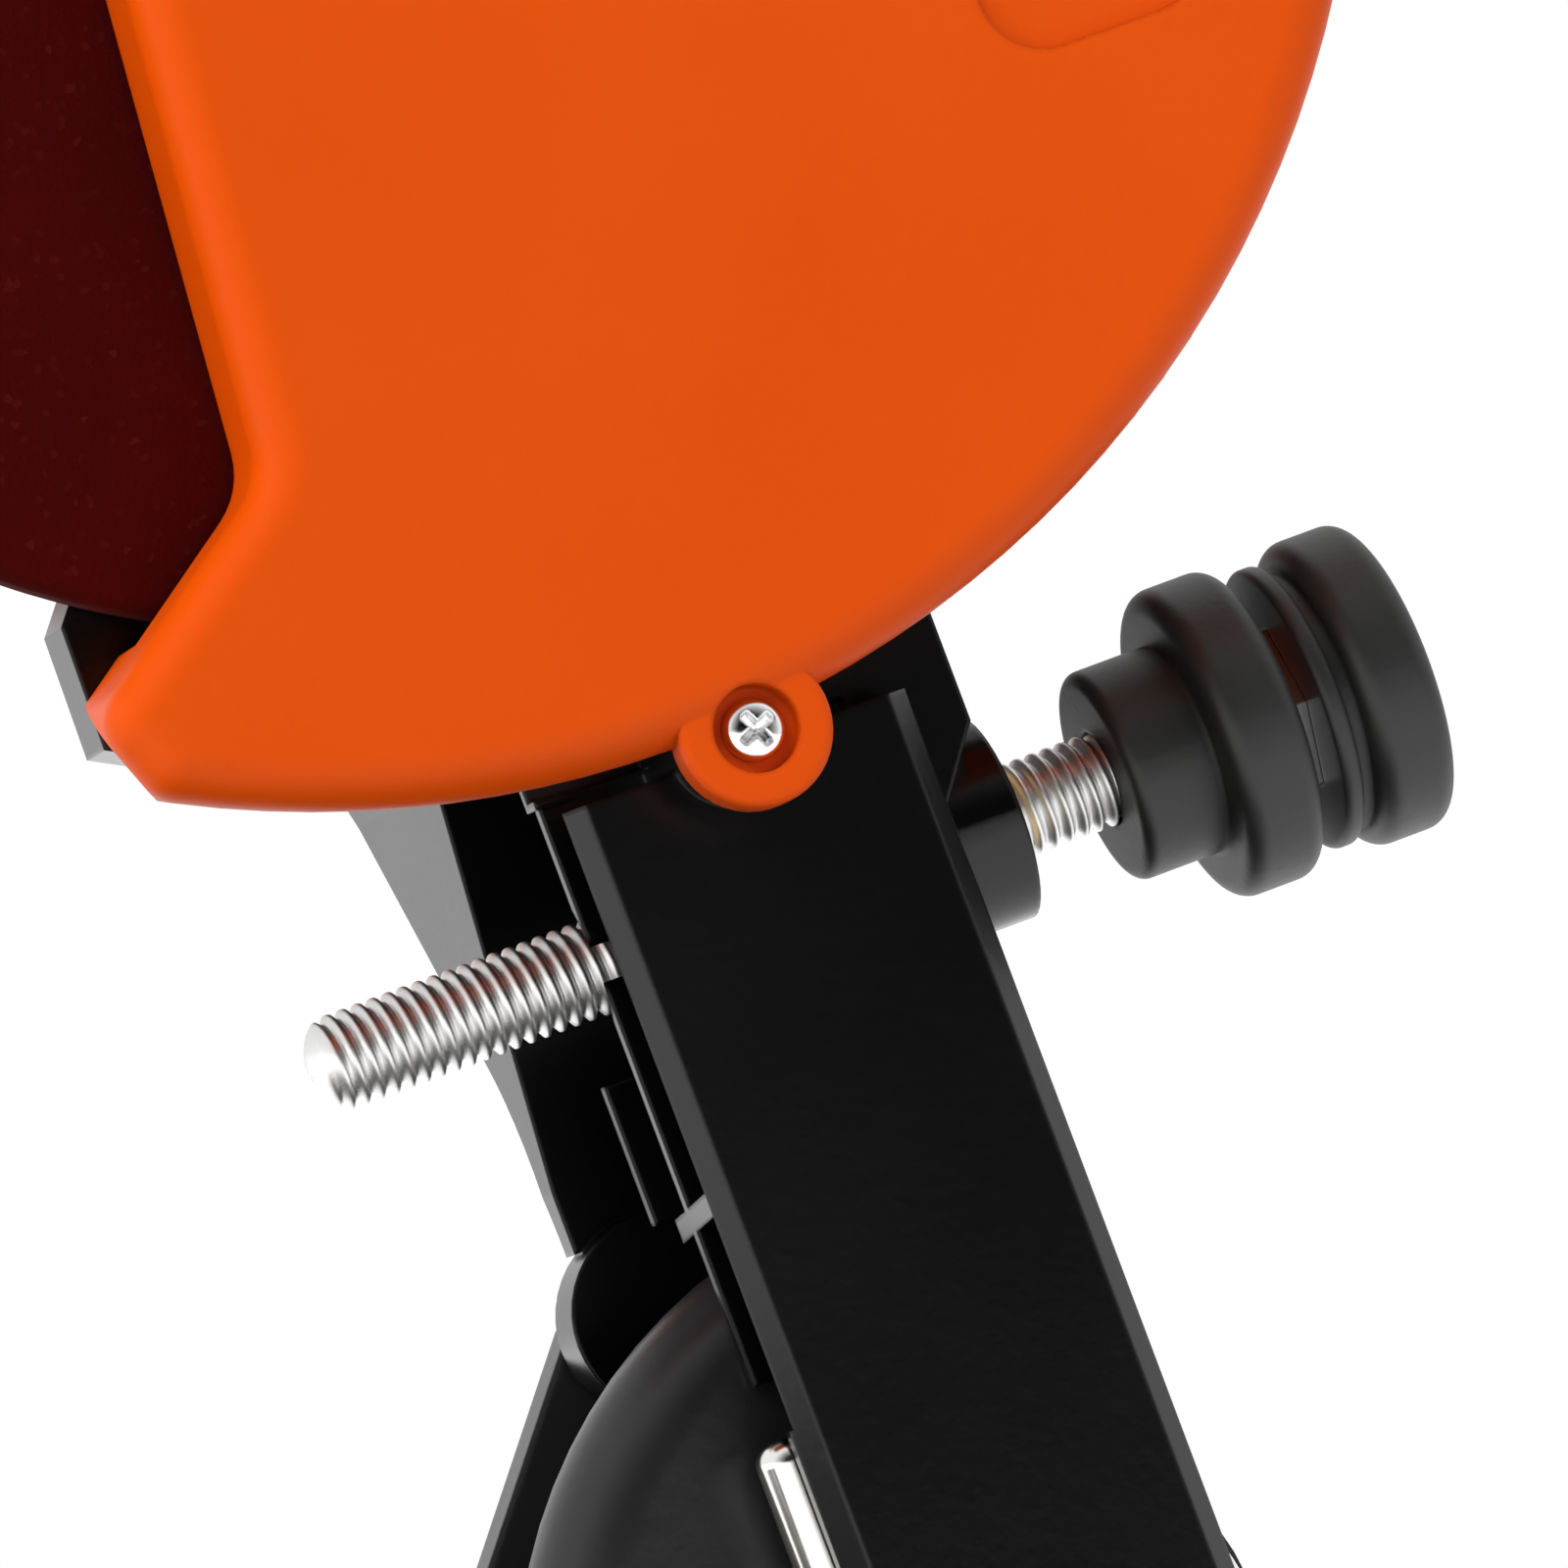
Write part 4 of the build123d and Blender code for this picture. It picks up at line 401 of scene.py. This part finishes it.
def screw_rings(seat, along, shank, head, height, bury, recess, columns=72, rows=26):
    """Rings of a screw: a plain shank below the seat, then a domed head with its recess."""
    side, other, along = axes_along(along)

    def ring(radius, lift, cut):
        points = []
        for column in range(columns):
            angle = 2 * math.pi * column / columns
            x, y = radius * math.cos(angle), radius * math.sin(angle)
            drop = recess(x, y, head) * head if cut else 0.0
            points.append(seat + side * x + other * y + along * (lift - drop))
        return points

    skirt = HEAD_SKIRT * height
    rings = [ring(shank, -bury, False), ring(shank, 0.0, False), ring(HEAD_SEAT * head, 0.0, False)]
    rings += [ring(head, HEAD_BEVEL * height, False), ring(head, skirt, False)]
    for row in range(1, rows + 1):
        share = 1 - (row / rows) * HEAD_CLOSING
        lift = skirt + (height - skirt) * math.sqrt(max(0.0, 1 - share ** HEAD_CROWN))
        rings.append(ring(head * share, lift, True))
    return rings


def dressed_screws(node, axis, direction, slot, body, recess, head, height, shank):
    """One mesh that stands for all the screws of a node, whose heads look along the axis in a direction."""
    points, faces = [], []
    for low, high in loose_parts(node):
        top = (low + high) / 2
        end = high if direction > 0 else low
        top[axis] = end[axis]
        along = Vector([direction if i == axis else 0 for i in range(3)])
        seat = top - along * height
        rings = screw_rings(seat, along, shank, head, height, (high - low)[axis] - height, recess)
        new_points, new_faces = rings_to_mesh(rings)
        faces += [tuple(i + len(points) for i in face) for face in new_faces]
        points += new_points
    piece = mesh_piece(node + "_heads", points, faces, slot, body)
    clean(piece.data)
    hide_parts(node)


dressed_screws("cover_screws", ACROSS, 1, "screw_chrome", "arm", cross_recess,
               head=1.9 * MM, height=1.6 * MM, shank=1.25 * MM)
dressed_screws("housing_screws", ACROSS, -1, "screw_chrome", "arm", cross_recess,
               head=2.8 * MM, height=1.6 * MM, shank=1.6 * MM)
dressed_screws("vice_screws", UPWARD, 1, "steel", "vice", hex_recess,
               head=3.4 * MM, height=2.0 * MM, shank=1.9 * MM)


# Threads

LIMIT_PITCH = 1.0 * MM
LIMIT_DOME = 2.2 * MM
CLAMP_PITCH = 1.25 * MM
LOCK_PITCH = 1.0 * MM
STOP_PITCH = 0.8 * MM


def limit_screw():
    """Thread in place of the plain limit screw, which slants with the arm."""
    low, high = arm_span("limit_screw")
    centre = (low + high) / 2
    back = HINGE_LINE + arm_axis(centre.x, high.y, centre.z)
    screw = thread("limit_screw_thread", back, -arm_axis(0, 1, 0), high.y - low.y, (high.z - low.z) / 2,
                   LIMIT_PITCH, "screw_steel", "depth_stop", dome=LIMIT_DOME, bevel=ROD_BEVEL)
    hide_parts("limit_screw")


limit_screw()

threaded_rod("clamp_screw", Vector((0, -1, 0)), CLAMP_PITCH, "steel", "clamp")
threaded_rod("vice_lock_screw", Vector((0, -1, 0)), LOCK_PITCH, "steel", "vice_lock")
threaded_rod("stop_rod", Vector((1, 0, 0)), STOP_PITCH, "steel", "chain_stop")


# Angle scale: lines every five degrees and plain numbers

SCALE_REACH = 45
LINE_STEP, NUMBER_STEP = 5, 10
LONG_LINE, SHORT_LINE, LINE_WIDTH, LINE_MARGIN = 2.6 * MM, 1.6 * MM, 0.28 * MM, 0.3 * MM
LINE_SUNK, LINE_RAISED = -0.1 * MM, 0.04 * MM
NUMBER_SIZE, NUMBER_RAISED, NUMBER_OUT = 2.6 * MM, 0.06 * MM, 4.3 * MM
SCALE_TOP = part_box("angle_scale")[1][2]
SCALE_INNER = (VICE.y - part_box("angle_scale")[1][1]) / math.cos(math.radians(SCALE_REACH))


def scale_point(radius, angle, lift):
    """Place above the scale, at an angle from the front in degrees."""
    turn = math.radians(angle)
    return Vector((VICE.x + radius * math.sin(turn), VICE.y - radius * math.cos(turn), SCALE_TOP + lift))


def scale_lines():
    points, faces = [], []
    half = math.degrees(LINE_WIDTH / 2 / SCALE_INNER)
    for angle in range(LINE_STEP - SCALE_REACH, SCALE_REACH, LINE_STEP):
        reach = LONG_LINE if angle % NUMBER_STEP == 0 else SHORT_LINE
        corners = []
        for lift in (LINE_SUNK, LINE_RAISED):
            for radius, side in ((LINE_MARGIN, -1), (LINE_MARGIN, 1), (reach, 1), (reach, -1)):
                corners.append(scale_point(SCALE_INNER + radius, angle + side * half, lift))
        a = len(points)
        points += corners
        faces += [(a, a + 3, a + 2, a + 1), (a + 4, a + 5, a + 6, a + 7)]
        faces += [(a + i, a + (i + 1) % 4, a + 4 + (i + 1) % 4, a + 4 + i) for i in range(4)]
    mesh_piece("scale_lines", points, faces, "bush_rubber", "base", smooth=False)


def scale_number(angle):
    curve = bpy.data.curves.new("number", "FONT")
    curve.body = str(abs(angle))
    curve.size = NUMBER_SIZE
    curve.extrude = NUMBER_RAISED
    curve.align_x = "CENTER"
    curve.align_y = "CENTER"
    text = bpy.data.objects.new("number", curve)
    bpy.context.scene.collection.objects.link(text)
    bpy.context.view_layer.update()
    mesh = bpy.data.meshes.new_from_object(text.evaluated_get(bpy.context.evaluated_depsgraph_get()))
    bpy.data.objects.remove(text)
    place = Matrix.Translation(scale_point(SCALE_INNER + NUMBER_OUT, angle, 0.0))
    mesh.transform(place @ Matrix.Rotation(math.radians(angle), 4, "Z"))
    mesh.materials.clear()
    mesh.materials.append(mats["bush_rubber"])
    name = "scale_number_" + ("left_" if angle < 0 else "right_") + str(abs(angle))
    piece = bpy.data.objects.new(name, mesh)
    bpy.context.scene.collection.objects.link(piece)
    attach(piece, "base")


scale_lines()
for angle in range(LINE_STEP - SCALE_REACH, SCALE_REACH, NUMBER_STEP):
    scale_number(angle)


# Camera, at the photograph's viewing angle

def look(azimuth, elevation, right_mm, up_mm, toward_mm, distance, lens):
    a, e = math.radians(azimuth), math.radians(elevation)
    back = Vector((math.sin(a) * math.cos(e), -math.cos(a) * math.cos(e), math.sin(e)))
    right = Vector((math.cos(a), math.sin(a), 0.0))
    up = back.cross(right)
    aim = (right * right_mm + up * up_mm + back * toward_mm) * MM
    camera = bpy.data.objects.new("camera", bpy.data.cameras.new("camera"))
    bpy.context.scene.collection.objects.link(camera)
    camera.data.lens = lens
    camera.data.sensor_width = 36.0
    camera.data.clip_start = 0.01
    camera.matrix_world = Matrix((
        (right.x, up.x, back.x, 0), (right.y, up.y, back.y, 0), (right.z, up.z, back.z, 0), (0, 0, 0, 1)))
    camera.matrix_world.translation = aim + back * distance
    bpy.context.scene.camera = camera


look(azimuth=77.5, elevation=-6.0, right_mm=46.55, up_mm=129.64, toward_mm=-20.7, distance=0.9, lens=344.25)


# Light, floor and background

LIT_POINT = (0, 0, 0.14)


def area(name, place, size, power):
    lamp = bpy.data.objects.new(name, bpy.data.lights.new(name, "AREA"))
    lamp.data.size = size
    lamp.data.energy = power
    lamp.location = place
    lamp.visible_glossy = False
    lamp.visible_camera = False
    lamp.rotation_euler = (Vector(LIT_POINT) - Vector(place)).to_track_quat("-Z", "Y").to_euler()
    bpy.context.scene.collection.objects.link(lamp)


def maths(tree, operation, first, second):
    """Result of a sum on two values, each a number or another node's output."""
    node = tree.nodes.new("ShaderNodeMath")
    node.operation = operation
    for index, value in enumerate((first, second)):
        if isinstance(value, (int, float)):
            node.inputs[index].default_value = value
        else:
            tree.links.new(value, node.inputs[index])
    return node.outputs[0]


area("key", (0.7, -0.6, 0.75), size=0.7, power=6.6)
area("fill", (0.8, 0.7, 0.35), size=0.8, power=3.0)
area("back", (-0.7, 0.2, 0.7), size=0.8, power=5.0)
area("front", (0.15, -0.9, 0.4), size=0.6, power=5.0)


# Strength of the room's light, and of its dark side in reflections, with the range of X across which it fades
ROOM_LIGHT, DARK_SIDE = 0.45, 0.005
BRIGHT_UNTIL, DARK_FROM = 0.42, 0.92
# Half the floor's width, the light that metal sees on it, and how far out it turns white to the eye
FLOOR_HALF, FLOOR_SHINE = 3, 0.6
WHITE_FROM, WHITE_BY = 0.35, 0.90


def studio_world():
    """White to the eye; reflections are bright from the motor's side and dark from the wheel's side."""
    world = bpy.data.worlds.new("world")
    bpy.context.scene.world = world
    world.use_nodes = True
    tree = world.node_tree
    background = tree.nodes["Background"]
    background.inputs["Color"].default_value = (1.0, 1.0, 1.0, 1.0)
    split = tree.nodes.new("ShaderNodeSeparateXYZ")
    tree.links.new(tree.nodes.new("ShaderNodeTexCoord").outputs["Generated"], split.inputs[0])
    mirror = spread(tree, split.outputs["X"], 1.0, DARK_SIDE, BRIGHT_UNTIL, DARK_FROM)
    path = tree.nodes.new("ShaderNodeLightPath")
    seen = maths(tree, "MAXIMUM", path.outputs["Is Camera Ray"], path.outputs["Is Transmission Ray"])
    glossy = maths(tree, "MULTIPLY", path.outputs["Is Glossy Ray"], mirror)
    diffuse = maths(tree, "MULTIPLY", path.outputs["Is Diffuse Ray"], ROOM_LIGHT)
    total = maths(tree, "ADD", maths(tree, "ADD", seen, glossy), diffuse)
    tree.links.new(total, background.inputs["Strength"])


def studio_floor():
    mesh = bpy.data.meshes.new("floor")
    corners = [(x * FLOOR_HALF, y * FLOOR_HALF, 0) for x, y in ((-1, -1), (1, -1), (1, 1), (-1, 1))]
    mesh.from_pydata(corners, [], [(0, 1, 2, 3)])
    floor = bpy.data.objects.new("floor", mesh)
    bpy.context.scene.collection.objects.link(floor)
    mat, tree, shader = new_material("floor")
    shader.inputs["Base Color"].default_value = (0.85, 0.85, 0.85, 1.0)
    shader.inputs["Roughness"].default_value = 0.6
    shader.inputs["Emission Color"].default_value = (1.0, 1.0, 1.0, 1.0)
    away = tree.nodes.new("ShaderNodeVectorMath")
    away.operation = "LENGTH"
    tree.links.new(coordinates(tree), away.inputs[0])
    fade = spread(tree, away.outputs["Value"], 0.0, 1.0, WHITE_FROM, WHITE_BY)
    path = tree.nodes.new("ShaderNodeLightPath")
    far = maths(tree, "MULTIPLY", path.outputs["Is Camera Ray"], fade)
    shine = maths(tree, "MULTIPLY", path.outputs["Is Glossy Ray"], FLOOR_SHINE)
    tree.links.new(maths(tree, "ADD", far, shine), shader.inputs["Emission Strength"])
    mesh.materials.append(mat)


studio_world()
studio_floor()

bpy.context.scene.view_settings.view_transform = "Standard"
